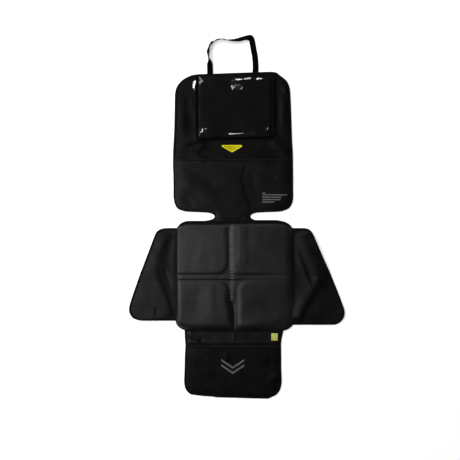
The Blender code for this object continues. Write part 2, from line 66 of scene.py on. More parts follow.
class Side(enum.Enum):
    """Which side of the mat a wing or a pad is on."""

    LEFT = -1
    RIGHT = 1


# Plans and surfaces


def smoothstep(value: Array) -> Array:
    """Return value eased from 0 to 1, and held at 0 and 1 outside."""
    held = np.clip(value, 0.0, 1.0)
    return held * held * (3.0 - 2.0 * held)


def end_spread(share: Array, ease: float = 0.9) -> Array:
    """Return shares from 0 to 1 that crowd towards both ends.

    Args:
        share: Even shares from 0 to 1.
        ease: How strongly they crowd, from 0 for evenly to just under 1.

    Returns:
        The crowded shares.
    """
    return share - ease * np.sin(2.0 * np.pi * share) / (2.0 * np.pi)


def resampled(points: Array, spacing: float, closed: bool) -> Array:
    """Return a line's points at an even spacing.

    Args:
        points: The line's corners, one row each.
        spacing: Distance between the new points.
        closed: Whether the line runs back to its first point.

    Returns:
        The new points, without the first one again at the end of a closed line.
    """
    line = np.vstack([points, points[:1]]) if closed else points
    steps = np.linalg.norm(np.diff(line, axis=0), axis=1)
    run = np.concatenate([[0.0], np.cumsum(steps)])
    count = max(8, round(run[-1] / spacing))
    stops = np.linspace(0.0, run[-1], count + 1)
    even = np.column_stack([np.interp(stops, run, line[:, k]) for k in range(line.shape[1])])
    return even[:-1] if closed else even


def relaxed(points: Array, rounds: int) -> Array:
    """Round the corners of a closed line by averaging each point with its neighbours.

    Args:
        points: The line's points, one row each.
        rounds: How many times to average them.

    Returns:
        As many points, with softer corners.
    """
    for _ in range(rounds):
        points = (np.roll(points, 1, axis=0) + 2.0 * points + np.roll(points, -1, axis=0)) / 4.0
    return points


def outward(points: Array, closed: bool) -> Array:
    """Find the unit vectors in the plane that point to the right of a line, one for each point.

    Args:
        points: The line's points in the plane, anticlockwise where it is closed.
        closed: Whether the line runs back to its first point.

    Returns:
        One unit vector a row.
    """
    if closed:
        along = np.roll(points, -1, axis=0) - np.roll(points, 1, axis=0)
    else:
        along = np.gradient(points, axis=0)
    along = along / np.maximum(np.linalg.norm(along, axis=1, keepdims=True), 1e-9)
    return np.column_stack([along[:, 1], -along[:, 0]])


@dataclass(frozen=True)
class Ease:
    """How a panel has settled from its pattern, in millimetres.

    Each row is a y, with how far the left and the right side have moved to the right there. foot and
    head are how far its foot and its head edge have moved towards the head.
    """

    sides: tuple[tuple[float, float, float], ...]
    foot: float = 0.0
    head: float = 0.0

    def shifts(self, y: Array) -> tuple[Array, Array]:
        """Return how far the left and the right side have moved at each y, in metres."""
        table = np.array(self.sides) * MM
        return np.interp(y, table[:, 0], table[:, 1]), np.interp(y, table[:, 0], table[:, 2])


BACK_EASE = Ease(((247, 0, 0), (249, -7.0, 4.5), (256, -5.0, 5.0), (266, -2.5, 3.0), (285, -0.8, 1.5),
                  (330, -1.1, 1.2), (375, -2.6, 2.0), (420, -5.0, 2.1), (465, -5.0, 2.1), (510, -3.4, 0.0),
                  (555, -1.8, -0.8), (640, -1.6, -2.2), (690, -1.5, -4.2), (715, 1.0, -5.0), (735, 5.0, -6.4),
                  (748, 10.0, -12.0), (756, 10.0, -12.0), (761, 2.0, -2.0), (764, 0.0, 0.0)))
SEAT_EASE = Ease(((-207, 17.0, -6.0), (-200, 9.0, -1.0), (-190, 3.0, 3.0), (-178, 0.5, 6.0), (-150, 0.0, 5.5),
                  (150, 0.0, 5.5), (190, -1.0, 5.0), (206.8, -3.0, 4.0), (207.5, 150.0, 3.0),
                  (209.9, 230.0, -8.0)), 0.0, 3.0)
FRONT_EASE = Ease(((-459.5, 0.0, -6.0), (-457.5, 9.0, -10.0), (-456, 50.0, -16.0), (-452, 80.0, -12.0),
                   (-448.5, 34.0, -8.0), (-443, 5.0, -6.0), (-430, 1.0, -4.0), (-395, -2.0, 0.8),
                   (-350, 0.0, -1.1), (-300, 1.0, -1.2), (-256, 3.6, -2.2), (-235, 1.0, 0.0),
                   (-222, 0.5, 3.0), (-208, 0.5, 6.5)))
LEFT_EASE = Ease(((-168, 14.0, 0.0), (-164, 7.0, 0.0), (-157, 2.0, 0.0), (-120, 0.0, 0.0), (-75, -2.3, 0.0),
                  (15, -2.8, 0.0), (60, -1.5, 0.0), (165, 0.0, 0.0), (180, 5.0, 0.0)), 1.5)
RIGHT_EASE = Ease(((-183, 0.0, -5.0), (-160, 0.0, -2.0), (-120, 0.0, 1.9), (-75, 0.0, 3.8), (15, 0.0, 3.4),
                   (60, 0.0, 0.2), (105, 0.0, -1.2), (150, 0.0, -2.4), (180, 0.0, -4.0)), 1.2)
EASES = {"back": BACK_EASE, "storage": BACK_EASE, "seat_cover": SEAT_EASE, "seat_binding": SEAT_EASE,
         "front": FRONT_EASE, "left_wing": LEFT_EASE, "right_wing": RIGHT_EASE}


@dataclass(frozen=True)
class Plan:
    """The plan of a CAD node: how far it reaches to the left and right in each row, once settled."""

    node: str

    def ease(self) -> Ease:
        """Return how the node's panel has settled."""
        return next((ease for start, ease in EASES.items() if self.node.startswith(start)),
                    Ease(((0.0, 0.0, 0.0),)))

    def edges(self) -> Array:
        """Read the node's edges from the CAD model.

        Returns:
            The plan places of both ends of each edge.
        """
        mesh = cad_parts[self.node].data
        places = np.empty(len(mesh.vertices) * 3, np.float32)
        mesh.vertices.foreach_get("co", places)
        pairs = np.empty(len(mesh.edges) * 2, np.int32)
        mesh.edges.foreach_get("vertices", pairs)
        return places.reshape(-1, 3)[:, :2].astype(float)[pairs.reshape(-1, 2)]

    def rows(self) -> tuple[float, float]:
        """Return the node's lowest and highest y, once settled."""
        low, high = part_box(self.node)
        return low.y + self.ease().foot * MM, high.y + self.ease().head * MM

    def reach(self, rows: Array) -> tuple[Array, Array]:
        """Return the node's leftmost and rightmost x at each y.

        Args:
            rows: The y of each row.

        Returns:
            The left and the right x of each row.
        """
        edges = self.edges()
        low, high = edges[..., 1].min(), edges[..., 1].max()
        starts, ends = edges[:, 0], edges[:, 1]
        rise = ends[:, 1] - starts[:, 1]
        level, margin = 1e-9, 1e-5
        safe = np.where(np.abs(rise) < level, 1.0, rise)
        left, right = [], []
        for row in np.clip(rows, low + margin, high - margin):
            share = (row - starts[:, 1]) / safe
            crossed = (np.abs(rise) > level) & (share >= 0.0) & (share <= 1.0)
            places = (starts[:, 0] + share * (ends[:, 0] - starts[:, 0]))[crossed]
            left.append(places.min())
            right.append(places.max())
        left, right = np.array(left), np.array(right)
        middle = (left + right) / 2.0
        left_shift, right_shift = self.ease().shifts(rows)
        return np.minimum(left + left_shift, middle), np.maximum(right + right_shift, middle)

    def loop(self, spacing: float, rounding: int = 10) -> Array:
        """Return the node's outer edge as a closed anticlockwise line.

        Args:
            spacing: Distance between its points.
            rounding: Rounds of smoothing, which take away the solid's facets.

        Returns:
            The points in the plane.
        """
        count, crowding, fine_step = 500, 0.97, 0.003
        low, high = self.rows()
        rows = low + (high - low) * end_spread(np.linspace(0.0, 1.0, count), crowding)
        left, right = self.reach(rows)
        climb = np.column_stack([right, rows])
        fall = np.column_stack([left, rows])[::-1]
        fine = resampled(np.vstack([climb, fall]), fine_step, True)
        return resampled(relaxed(fine, rounding), spacing, True)


@dataclass(frozen=True)
class Crease:
    """A raised line in a sheet, or a sunken one where its height is under 0. All in millimetres.

    left and right are how far it spreads to the left and right of the line's own direction. Height and
    spreads are one number, or one for each corner of the line. taper is the share of its length over
    which each end dies down, and end is the share of its height that is left there.
    """

    line: tuple[tuple[float, float], ...]
    height: float | tuple[float, ...]
    left: float | tuple[float, ...]
    right: float | tuple[float, ...]
    taper: float = 0.25
    end: float = 0.15

    def rise(self, x: Array, y: Array) -> Array:
        """Work out how far it lifts the sheet.

        Args:
            x: Places across.
            y: Places along.

        Returns:
            The lift at each place, in metres.
        """
        line = np.array(self.line) * MM
        steps = np.diff(line, axis=0)
        lengths = np.linalg.norm(steps, axis=1)
        stops = np.concatenate([[0.0], np.cumsum(lengths)])
        nearest = np.full(x.shape, np.inf)
        side, run = np.zeros(x.shape), np.zeros(x.shape)
        for corner, step, length, start in zip(line, steps, lengths, stops):
            dx, dy = x - corner[0], y - corner[1]
            share = np.clip((dx * step[0] + dy * step[1]) / length**2, 0.0, 1.0)
            away = np.hypot(dx - share * step[0], dy - share * step[1])
            closer = away < nearest
            nearest = np.where(closer, away, nearest)
            side = np.where(closer, step[0] * dy - step[1] * dx, side)
            run = np.where(closer, start + share * length, run)
        left, right, height = (np.interp(run, stops, np.broadcast_to(value, len(line)) * MM)
                               for value in (self.left, self.right, self.height))
        spread = np.where(side > 0.0, left, right)
        total = lengths.sum()
        ends = np.minimum(run, total - run) / (self.taper * total)
        return height * np.exp(-((nearest / spread) ** 2)) * (self.end + (1.0 - self.end) * smoothstep(ends))


@dataclass(frozen=True)
class Swell:
    """A soft mound, or a hollow where its height is under 0. Millimetres, with the turn in degrees."""

    x: float
    y: float
    height: float
    across: float
    along: float
    turn: float = 0.0

    def rise(self, x: Array, y: Array) -> Array:
        """Work out how far it lifts the sheet.

        Args:
            x: Places across.
            y: Places along.

        Returns:
            The lift at each place, in metres.
        """
        angle = math.radians(self.turn)
        dx, dy = x - self.x * MM, y - self.y * MM
        u = (dx * math.cos(angle) + dy * math.sin(angle)) / (self.across * MM)
        v = (dy * math.cos(angle) - dx * math.sin(angle)) / (self.along * MM)
        return self.height * MM * np.exp(-(u * u) - v * v)


@dataclass(frozen=True)
class Ripple:
    """Low waves that cross each other all over a sheet. Height and length are in millimetres."""

    height: float
    length: float
    seed: int
    waves: int = 9

    def rise(self, x: Array, y: Array) -> Array:
        """Work out how far they lift the sheet.

        Args:
            x: Places across.
            y: Places along.

        Returns:
            The lift at each place, in metres.
        """
        draw = np.random.default_rng(self.seed)
        total = np.zeros(x.shape)
        for _ in range(self.waves):
            angle, phase = draw.uniform(0.0, 2.0 * np.pi, 2)
            wave = self.length * MM * draw.uniform(0.6, 1.7)
            bend = 0.6 * np.sin((x * np.sin(angle) - y * np.cos(angle)) / wave * 1.7 + phase * 2.0)
            total += np.sin(2.0 * np.pi * (x * np.cos(angle) + y * np.sin(angle)) / wave + phase + bend)
        return self.height * MM * total / 3.0


@dataclass(frozen=True)
class Relief:
    """How a sheet lies: its folds, swells and ripples, which die down towards its sewn edge.

    fade is how far in from the edge they reach their full height, kept is the share of it that is left
    at the edge, and base is how far the sheet lies above its flat level where it has no folds.
    """

    features: tuple[Crease | Swell | Ripple, ...]
    edge: Array | None = None
    fade: float = 0.022
    kept: float = 0.30
    base: float = 0.0015

    def inside(self, x: Array, y: Array) -> Array:
        """Measure how far each place is from the sewn edge.

        Args:
            x: Places across.
            y: Places along.

        Returns:
            The distance at each place.
        """
        near = np.empty(x.size)
        flat = np.column_stack([x.ravel(), y.ravel()])
        batch = 4000
        for start in range(0, len(flat), batch):
            part = flat[start : start + batch]
            gaps = part[:, None, :] - self.edge[None, :, :]
            near[start : start + batch] = np.sqrt((gaps**2).sum(axis=2).min(axis=1))
        return near.reshape(x.shape)

    def __call__(self, x: Array, y: Array) -> Array:
        """Work out how far the sheet is lifted off its flat level.

        Args:
            x: Places across.
            y: Places along.

        Returns:
            The lift at each place, which never goes below 0.
        """
        lift = np.full(x.shape, self.base)
        for feature in self.features:
            lift = lift + feature.rise(x, y)
        if self.edge is not None:
            lift = lift * (self.kept + (1.0 - self.kept) * smoothstep(self.inside(x, y) / self.fade))
        rounding = 0.0005
        return 0.5 * (lift + np.sqrt(lift * lift + rounding * rounding))


# Meshes


def mapped_grid(name: str, columns: int, rows: int,
                place: Callable[[Array, Array], Array]) -> bpy.types.Object:
    """Add a grid and move its points to where place puts them.

    Args:
        name: The piece's name.
        columns: Cells across.
        rows: Cells along.
        place: Turns shares across and along, from 0 to 1, into places, one row each.

    Returns:
        The new piece, with points that fall together merged.
    """
    bpy.ops.object.select_all(action="DESELECT")
    bpy.ops.mesh.primitive_grid_add(x_subdivisions=columns, y_subdivisions=rows, size=2.0)
    piece = bpy.context.object
    piece.name = piece.data.name = name
    flat = np.empty(len(piece.data.vertices) * 3, np.float32)
    piece.data.vertices.foreach_get("co", flat)
    shares = (flat.reshape(-1, 3)[:, :2].astype(float) + 1.0) / 2.0
    placed = place(shares[:, 0], shares[:, 1])
    piece.data.vertices.foreach_set("co", placed.astype(np.float32).ravel())
    piece.data.update()
    merge(piece)
    return piece


def merge(piece: bpy.types.Object, outside: bool = False) -> None:
    """Merge points that fall together.

    Args:
        piece: The piece to clean.
        outside: Whether to turn the faces of a closed form outwards as well.
    """
    activate(piece)
    bpy.ops.object.mode_set(mode="EDIT")
    bpy.ops.mesh.select_all(action="SELECT")
    bpy.ops.mesh.remove_doubles(threshold=WELD)
    bpy.ops.mesh.dissolve_degenerate(threshold=WELD / 2.0)
    if outside:
        bpy.ops.mesh.select_all(action="SELECT")
        bpy.ops.mesh.normals_make_consistent(inside=False)
    bpy.ops.object.mode_set(mode="OBJECT")


def activate(piece: bpy.types.Object) -> None:
    """Select a piece alone and make it the active one.

    Args:
        piece: The piece.
    """
    bpy.ops.object.select_all(action="DESELECT")
    piece.select_set(True)
    bpy.context.view_layer.objects.active = piece


def thicken(piece: bpy.types.Object, thickness: float) -> None:
    """Give a sheet its thickness, downwards from its upper face.

    Args:
        piece: The sheet.
        thickness: How thick it is to be.
    """
    activate(piece)
    bpy.ops.object.modifier_add(type="SOLIDIFY")
    wall = piece.modifiers[-1]
    wall.thickness = thickness
    wall.offset = -1.0
    wall.use_even_offset = False
    bpy.ops.object.modifier_apply(modifier=wall.name)


def soften(piece: bpy.types.Object, width: float, segments: int = 2) -> None:
    """Round the sharp edges of a piece.

    Args:
        piece: The piece.
        width: Width of the rounding.
        segments: Faces across the rounding.
    """
    activate(piece)
    bpy.ops.object.modifier_add(type="BEVEL")
    bevel = piece.modifiers[-1]
    bevel.width = width
    bevel.segments = segments
    bevel.limit_method = "ANGLE"
    bevel.angle_limit = SHARP_ANGLE
    bpy.ops.object.modifier_apply(modifier=bevel.name)


def laid_sheet(name: str, plan: Plan, surface: Surface, thickness: float,
               cell: float = 0.003) -> bpy.types.Object:
    """Build a sheet with a node's plan whose upper face follows a surface.

    Args:
        name: The piece's name.
        plan: The plan to fill.
        surface: Height of the upper face at each place.
        thickness: Thickness of the cloth.
        cell: Size of the mesh's cells.

    Returns:
        The closed sheet.
    """
    low, high = plan.rows()
    margin = 0.006
    first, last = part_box(plan.node)[0].x - margin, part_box(plan.node)[1].x + margin
    columns = round((last - first) / cell)
    rows = round((high - low) / cell * 1.1)
    levels = low + (high - low) * end_spread(np.linspace(0.0, 1.0, rows + 1), 0.85)
    left, right = plan.reach(levels)

    def place(across: Array, along: Array) -> Array:
        """Fill the plan row by row, at the surface's height.

        Args:
            across: Shares across, from 0 to 1.
            along: Shares along, from 0 to 1.

        Returns:
            The places, one row each.
        """
        x = first + across * (last - first)
        y = np.interp(along, np.linspace(0.0, 1.0, rows + 1), levels)
        x = np.clip(x, np.interp(y, levels, left), np.interp(y, levels, right))
        return np.column_stack([x, y, surface(x, y)])

    piece = mapped_grid(name, columns, rows, place)
    thicken(piece, thickness)
    return piece


def swept(name: str, path: Array, profile: Array, surface: Surface, closed: bool) -> bpy.types.Object:
    """Sweep a closed profile along a line in the plane, lifted by a surface.

    Args:
        name: The piece's name.
        path: The line's points in the plane.
        profile: The profile's points, outward and up, in metres.
        surface: Height that each point's own height is added to.
        closed: Whether the line runs back to its first point.

    Returns:
        The closed tube.
    """
    count, sides = len(path), len(profile)
    normal = outward(path, closed)
    spans = count if closed else count - 1

    def place(across: Array, along: Array) -> Array:
        """Set the profile's corners across the line at each of its points.

        Args:
            across: Shares round the profile, from 0 to 1.
            along: Shares along the line, from 0 to 1.

        Returns:
            The places, one row each.
        """
        corner = np.rint(across * sides).astype(int) % sides
        stop = np.rint(along * spans).astype(int) % count
        plane = path[stop] + normal[stop] * profile[corner, :1]
        return np.column_stack([plane, profile[corner, 1] + surface(plane[:, 0], plane[:, 1])])

    piece = mapped_grid(name, sides, spans, place)
    if not closed:
        cap_ends(piece)
    merge(piece, outside=True)
    return piece


def cap_ends(piece: bpy.types.Object) -> None:
    """Close the open rims of a swept tube.

    Args:
        piece: The tube.
    """
    activate(piece)
    bpy.ops.object.mode_set(mode="EDIT")
    bpy.ops.mesh.select_all(action="DESELECT")
    bpy.ops.mesh.select_mode(type="VERT")
    bpy.ops.mesh.select_non_manifold(extend=False)
    bpy.ops.mesh.edge_face_add()
    bpy.ops.object.mode_set(mode="OBJECT")


def stitched(name: str, path: Array, surface: Surface, closed: bool,
             pitch: float = 0.0036) -> bpy.types.Object:
    """Build a sewing thread that dips in and out of the cloth along a line.

    Args:
        name: The piece's name.
        path: The line's points in the plane.
        surface: Height of the cloth that it is sewn to.
        closed: Whether the line runs back to its first point.
        pitch: Length of a stitch.

    Returns:
        The thread.
    """
    dips = np.array([-0.00045, 0.00018, 0.00028, 0.00028, 0.00018])
    even = resampled(path, pitch / len(dips), closed)
    count = len(even)
    normal = outward(even, closed)
    spans = count if closed else count - 1
    sides = 5
    radius = 0.00036

    def place(across: Array, along: Array) -> Array:
        """Set a ring of the thread round each point, at the depth of its dip.

        Args:
            across: Shares round the thread, from 0 to 1.
            along: Shares along the line, from 0 to 1.

        Returns:
            The places, one row each.
        """
        stop = np.rint(along * spans).astype(int) % count
        angle = 2.0 * np.pi * across
        plane = even[stop] + normal[stop] * (radius * np.cos(angle))[:, None]
        middle = even[stop]
        height = surface(middle[:, 0], middle[:, 1]) + dips[stop % len(dips)]
        return np.column_stack([plane, height + radius * np.sin(angle)])

    piece = mapped_grid(name, sides, spans, place)
    merge(piece, outside=True)
    return piece


def conformed(name: str, node: str, surface: Surface, cuts: int = 2) -> bpy.types.Object:
    """Copy a flat CAD node and lay it on a surface.

    Args:
        name: The piece's name.
        node: The node to copy.
        surface: Height of what it lies on.
        cuts: Cuts across each face, so that it can bend.

    Returns:
        The copy, with the node's own thickness.
    """
    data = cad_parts[node].data.copy()
    piece = bpy.data.objects.new(name, data)
    bpy.context.scene.collection.objects.link(piece)
    data.name = name
    data.materials.clear()
    for key in list(piece.keys()):
        del piece[key]
    merge(piece)
    bpy.ops.object.mode_set(mode="EDIT")
    bpy.ops.mesh.select_all(action="SELECT")
    bpy.ops.mesh.tris_convert_to_quads()
    if cuts:
        bpy.ops.mesh.subdivide(number_cuts=cuts)
    bpy.ops.object.mode_set(mode="OBJECT")
    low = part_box(node)[0].z
    places = np.empty(len(data.vertices) * 3, np.float32)
    data.vertices.foreach_get("co", places)
    places = places.reshape(-1, 3).astype(float)
    places[:, 2] += surface(places[:, 0], places[:, 1]) - low
    data.vertices.foreach_set("co", places.astype(np.float32).ravel())
    data.update()
    return piece


def resting_plane(node: str, surface: Surface) -> Surface:
    """Find the plane that a stiff plate rests on.

    Args:
        node: The plate's CAD node.
        surface: Height of what it lies on.

    Returns:
        The plane's height at each place, so that it touches the surface and nowhere goes below it.
    """
    low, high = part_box(node)
    columns, rows = 9, 5
    grid = np.meshgrid(np.linspace(low.x, high.x, columns), np.linspace(low.y, high.y, rows))
    terms = np.column_stack([np.ones(columns * rows), grid[0].ravel(), grid[1].ravel()])
    heights = surface(terms[:, 1], terms[:, 2])
    plane = np.linalg.lstsq(terms, heights, rcond=None)[0]
    lift = float((heights - terms @ plane).max())
    return lambda x, y: plane[0] + plane[1] * x + plane[2] * y + lift


def padded_block(name: str, low: Vector, high: Vector, radius: float, top: Surface,
                 cuts: int = 22) -> bpy.types.Object:
    """Build a foam block with rounded corners whose upper face follows a surface.

    Args:
        name: The piece's name.
        low: Lowest corner.
        high: Highest corner, whose height is not used.
        radius: Radius of its corners in plan.
        top: Height of its upper face at each place.
        cuts: Cuts across each face, so that it can bend.

    Returns:
        The closed block.
    """
    bpy.ops.object.select_all(action="DESELECT")
    bpy.ops.mesh.primitive_cube_add(size=2.0)
    piece = bpy.context.object
    piece.name = piece.data.name = name
    bpy.ops.object.mode_set(mode="EDIT")
    bpy.ops.mesh.select_all(action="SELECT")
    bpy.ops.mesh.subdivide(number_cuts=cuts)
    bpy.ops.object.mode_set(mode="OBJECT")
    places = np.empty(len(piece.data.vertices) * 3, np.float32)
    piece.data.vertices.foreach_get("co", places)
    places = places.reshape(-1, 3).astype(float)
    half = np.array([(high.x - low.x) / 2.0, (high.y - low.y) / 2.0])
    middle = np.array([(high.x + low.x) / 2.0, (high.y + low.y) / 2.0])
    plan = places[:, :2] * half
    corner = np.abs(plan) - (half - radius)
    both = (corner > 0.0).all(axis=1)
    square = np.maximum(corner, 1e-9)
    longest = square.max(axis=1, keepdims=True)
    round_corner = square / np.linalg.norm(square, axis=1, keepdims=True) * longest
    plan[both] = (np.sign(plan) * (half - radius + round_corner))[both]
    plan += middle
    share = (places[:, 2] + 1.0) / 2.0
    height = low.z + share * (top(plan[:, 0], plan[:, 1]) - low.z)
    placed = np.column_stack([plan, height])
    piece.data.vertices.foreach_set("co", placed.astype(np.float32).ravel())
    piece.data.update()
    return piece


# Finishes


class Nodes:
    """Adds and joins the nodes of one material."""

    def __init__(self, name: str) -> None:
        """Start an empty material.

        Args:
            name: The material's name.
        """
        self.material = bpy.data.materials.new(name)
        self.material.use_nodes = True
        self.tree = self.material.node_tree
        self.tree.nodes.clear()
        self.output = self.add("ShaderNodeOutputMaterial")

    def add(self, kind: str, settings: dict[str, object] | None = None, **sockets: object) -> bpy.types.Node:
        """Add a node.

        Args:
            kind: Blender's name for the node.
            settings: The node's own settings.
            sockets: Input values or sockets to join, by name with _ for a space.

        Returns:
            The new node.
        """
        node = self.tree.nodes.new(kind)
        for key, value in (settings or {}).items():
            setattr(node, key, value)
        for key, value in sockets.items():
            self.feed(node, key.replace("_", " "), value)
        return node

    def feed(self, node: bpy.types.Node, socket: str | int, value: object) -> None:
        """Set an input of a node, or join another node's output to it.

        Args:
            node: The node.
            socket: The input's name or number.
            value: The value, or the output to join.
        """
        if isinstance(value, bpy.types.NodeSocket):
            self.tree.links.new(value, node.inputs[socket])
        else:
            node.inputs[socket].default_value = value

    def maths(self, operation: str, first: object, second: object = 0.0) -> bpy.types.NodeSocket:
        """Add a Math node over two values.

        Args:
            operation: What it does with them.
            first: Its first value or socket.
            second: Its second one.

        Returns:
            The node's output.
        """
        node = self.add("ShaderNodeMath", {"operation": operation})
        self.feed(node, 0, first)
        self.feed(node, 1, second)
        return node.outputs[0]

    def ramp(self, factor: bpy.types.NodeSocket,
             stops: Sequence[tuple[float, float]]) -> bpy.types.NodeSocket:
        """Pass a factor through a grey ramp.

        Args:
            factor: The factor.
            stops: The place and value of each of the ramp's stops.

        Returns:
            The ramp's output.
        """
        node = self.add("ShaderNodeValToRGB", Fac=factor)
        ramp = node.color_ramp
        while len(ramp.elements) < len(stops):
            ramp.elements.new(0.5)
        for element, (place, value) in zip(ramp.elements, stops):
            element.position = place
            element.color = (value, value, value, 1.0)
        return node.outputs["Color"]

    def tinted(self, factor: bpy.types.NodeSocket, dark: Sequence[float],
               light: Sequence[float]) -> bpy.types.NodeSocket:
        """Mix two colours.

        Args:
            factor: Share of the light colour.
            dark: The dark colour.
            light: The light colour.

        Returns:
            The mixed colour.
        """
        node = self.add("ShaderNodeMix", {"data_type": "RGBA"})
        self.feed(node, 0, factor)
        self.feed(node, 6, (*dark, 1.0))
        self.feed(node, 7, (*light, 1.0))
        return node.outputs[2]

    def object_place(self) -> bpy.types.NodeSocket:
        """Return the piece's own coordinates."""
        return self.add("ShaderNodeTexCoord").outputs["Object"]

    def finish(self, shader: bpy.types.NodeSocket) -> bpy.types.Material:
        """Join the shader to the output.

        Args:
            shader: The shader's output.

        Returns:
            The finished material.
        """
        self.tree.links.new(shader, self.output.inputs["Surface"])
        return self.material


@dataclass(frozen=True)
class Cloth:
    """A woven or knitted cloth: plain threads both ways, with faint blotches of colour and gloss.

    thread is the distance from thread to thread, depth is how far they stand out, and blotch is about
    how many blotches there are in a metre.
    """

    name: str
    dark: tuple[float, float, float]
    light: tuple[float, float, float]
    roughness: float
    gloss: float
    thread: float
    depth: float
    blotch: float = 14.0

    def make(self) -> bpy.types.Material:
        """Build the material's nodes.

        Returns:
            The material.
        """
        n = Nodes(self.name)
        place = n.object_place()
        turns = 1.0 / self.thread
        waves = []
        for direction in ("X", "Y"):
            wave = n.add("ShaderNodeTexWave", {"bands_direction": direction}, Vector=place,
                         Scale=turns / 20.0 * math.pi, Distortion=0.6, Detail=1.0)
            waves.append(wave.outputs["Fac"])
        weave = n.maths("MULTIPLY", waves[0], waves[1])
        fuzz = n.add("ShaderNodeTexNoise", Vector=place, Scale=turns * 0.35, Detail=3.0).outputs["Fac"]
        height = n.maths("ADD", weave, n.maths("MULTIPLY", fuzz, 0.6))
        patch = n.add("ShaderNodeTexNoise", Vector=place, Scale=self.blotch, Detail=4.0).outputs["Fac"]
        colour = n.tinted(n.ramp(patch, ((0.35, 0.0), (0.70, 1.0))), self.dark, self.light)
        worn = n.maths("ADD", n.maths("MULTIPLY", patch, 0.16), self.roughness - 0.08)
        bump = n.add("ShaderNodeBump", Strength=0.55, Distance=self.depth, Height=height)
        shader = n.add("ShaderNodeBsdfPrincipled", Base_Color=colour, Roughness=worn,
                       Normal=bump.outputs["Normal"])
        n.feed(shader, "Specular IOR Level", self.gloss)
        return n.finish(shader.outputs[0])


@dataclass(frozen=True)
class Ribbed:
    """A tape or webbing with ribs across it and cords along it, which follow the piece's own map, with
    painted shade in the grooves between the ribs.
    """

    name: str
    dark: tuple[float, float, float]
    light: tuple[float, float, float]
    roughness: float
    gloss: float
    ribs: float
    cords: float

    def make(self) -> bpy.types.Material:
        """Build the material's nodes.

        Returns:
            The material.
        """
        n = Nodes(self.name)
        plan = n.add("ShaderNodeTexCoord")
        across = n.add("ShaderNodeTexWave", {"bands_direction": "Y"}, Vector=plan.outputs["UV"],
                       Scale=self.ribs / 20.0 * math.pi, Distortion=0.0).outputs["Fac"]
        along = n.add("ShaderNodeTexWave", {"bands_direction": "X"}, Vector=plan.outputs["UV"],
                      Scale=self.cords / 20.0 * math.pi, Distortion=0.0).outputs["Fac"]
        height = n.maths("ADD", across, n.maths("MULTIPLY", along, 0.35))
        patch = n.add("ShaderNodeTexNoise", Vector=plan.outputs["Object"], Scale=90.0,
                      Detail=3.0).outputs["Fac"]
        # Painted shade: the colour darkens in the grooves between the ribs, where the rib height is low, on
        # top of random patches of tone.
        groove_shade_and_tone = n.maths("MULTIPLY", patch, n.maths("ADD", n.maths("MULTIPLY", across, 0.5), 0.6))
        colour = n.tinted(groove_shade_and_tone, self.dark, self.light)
        worn = n.maths("ADD", n.maths("MULTIPLY", patch, 0.2), self.roughness - 0.1)
        bump = n.add("ShaderNodeBump", Strength=0.6, Distance=0.0003, Height=height)
        shader = n.add("ShaderNodeBsdfPrincipled", Base_Color=colour, Roughness=worn,
                       Normal=bump.outputs["Normal"])
        n.feed(shader, "Specular IOR Level", self.gloss)
        return n.finish(shader.outputs[0])


@dataclass(frozen=True)
class Leather:
    """A grained imitation leather with a soft gloss."""

    name: str
    dark: tuple[float, float, float]
    light: tuple[float, float, float]
    roughness: float
    gloss: float
    grain: float

    def make(self) -> bpy.types.Material:
        """Build the material's nodes.

        Returns:
            The material.
        """
        n = Nodes(self.name)
        place = n.object_place()
        cells = n.add("ShaderNodeTexVoronoi", {"feature": "DISTANCE_TO_EDGE"}, Vector=place,
                      Scale=1.0 / self.grain).outputs["Distance"]
        pores = n.add("ShaderNodeTexNoise", Vector=place, Scale=1.4 / self.grain, Detail=3.0).outputs["Fac"]
        pebble = n.maths("ADD", n.ramp(cells, ((0.0, 0.0), (0.16, 1.0))), n.maths("MULTIPLY", pores, 0.5))
        patch = n.add("ShaderNodeTexNoise", Vector=place, Scale=9.0, Detail=5.0).outputs["Fac"]
        colour = n.tinted(n.ramp(patch, ((0.35, 0.0), (0.68, 1.0))), self.dark, self.light)
        worn = n.maths("ADD", n.maths("MULTIPLY", patch, 0.18), self.roughness - 0.09)
        bump = n.add("ShaderNodeBump", Strength=0.35, Distance=0.00022, Height=pebble)
        shader = n.add("ShaderNodeBsdfPrincipled", Base_Color=colour, Roughness=worn,
                       Normal=bump.outputs["Normal"])
        n.feed(shader, "Specular IOR Level", self.gloss)
        return n.finish(shader.outputs[0])


@dataclass(frozen=True)
class Vinyl:
    """A clear soft film: it shows what lies under it, with glints where it is creased."""

    name: str
    haze: float
    roughness: float

    def make(self) -> bpy.types.Material:
        """Build the material's nodes.

        Returns:
            The material.
        """
        n = Nodes(self.name)
        place = n.object_place()
        waves = n.add("ShaderNodeTexNoise", Vector=place, Scale=45.0, Detail=2.0).outputs["Fac"]
        bump = n.add("ShaderNodeBump", Strength=0.25, Distance=0.0008, Height=waves)
        smear = n.add("ShaderNodeTexNoise", Vector=place, Scale=22.0, Detail=4.0).outputs["Fac"]
        worn = n.maths("ADD", n.maths("MULTIPLY", smear, 0.10), self.roughness)
        gloss = n.add("ShaderNodeBsdfGlossy", Color=(1.0, 1.0, 1.0, 1.0), Roughness=worn,
                      Normal=bump.outputs["Normal"])
        clear = n.add("ShaderNodeBsdfTransparent", Color=(0.93, 0.93, 0.94, 1.0))
        milk = n.add("ShaderNodeBsdfDiffuse", Color=(0.30, 0.30, 0.31, 1.0))
        body = n.add("ShaderNodeMixShader")
        n.feed(body, 0, self.haze)
        n.feed(body, 1, clear.outputs[0])
        n.feed(body, 2, milk.outputs[0])
        edge = n.add("ShaderNodeFresnel", IOR=1.62, Normal=bump.outputs["Normal"])
        whole = n.add("ShaderNodeMixShader")
        n.feed(whole, 0, edge.outputs[0])
        n.feed(whole, 1, body.outputs[0])
        n.feed(whole, 2, gloss.outputs[0])
        return n.finish(whole.outputs[0])


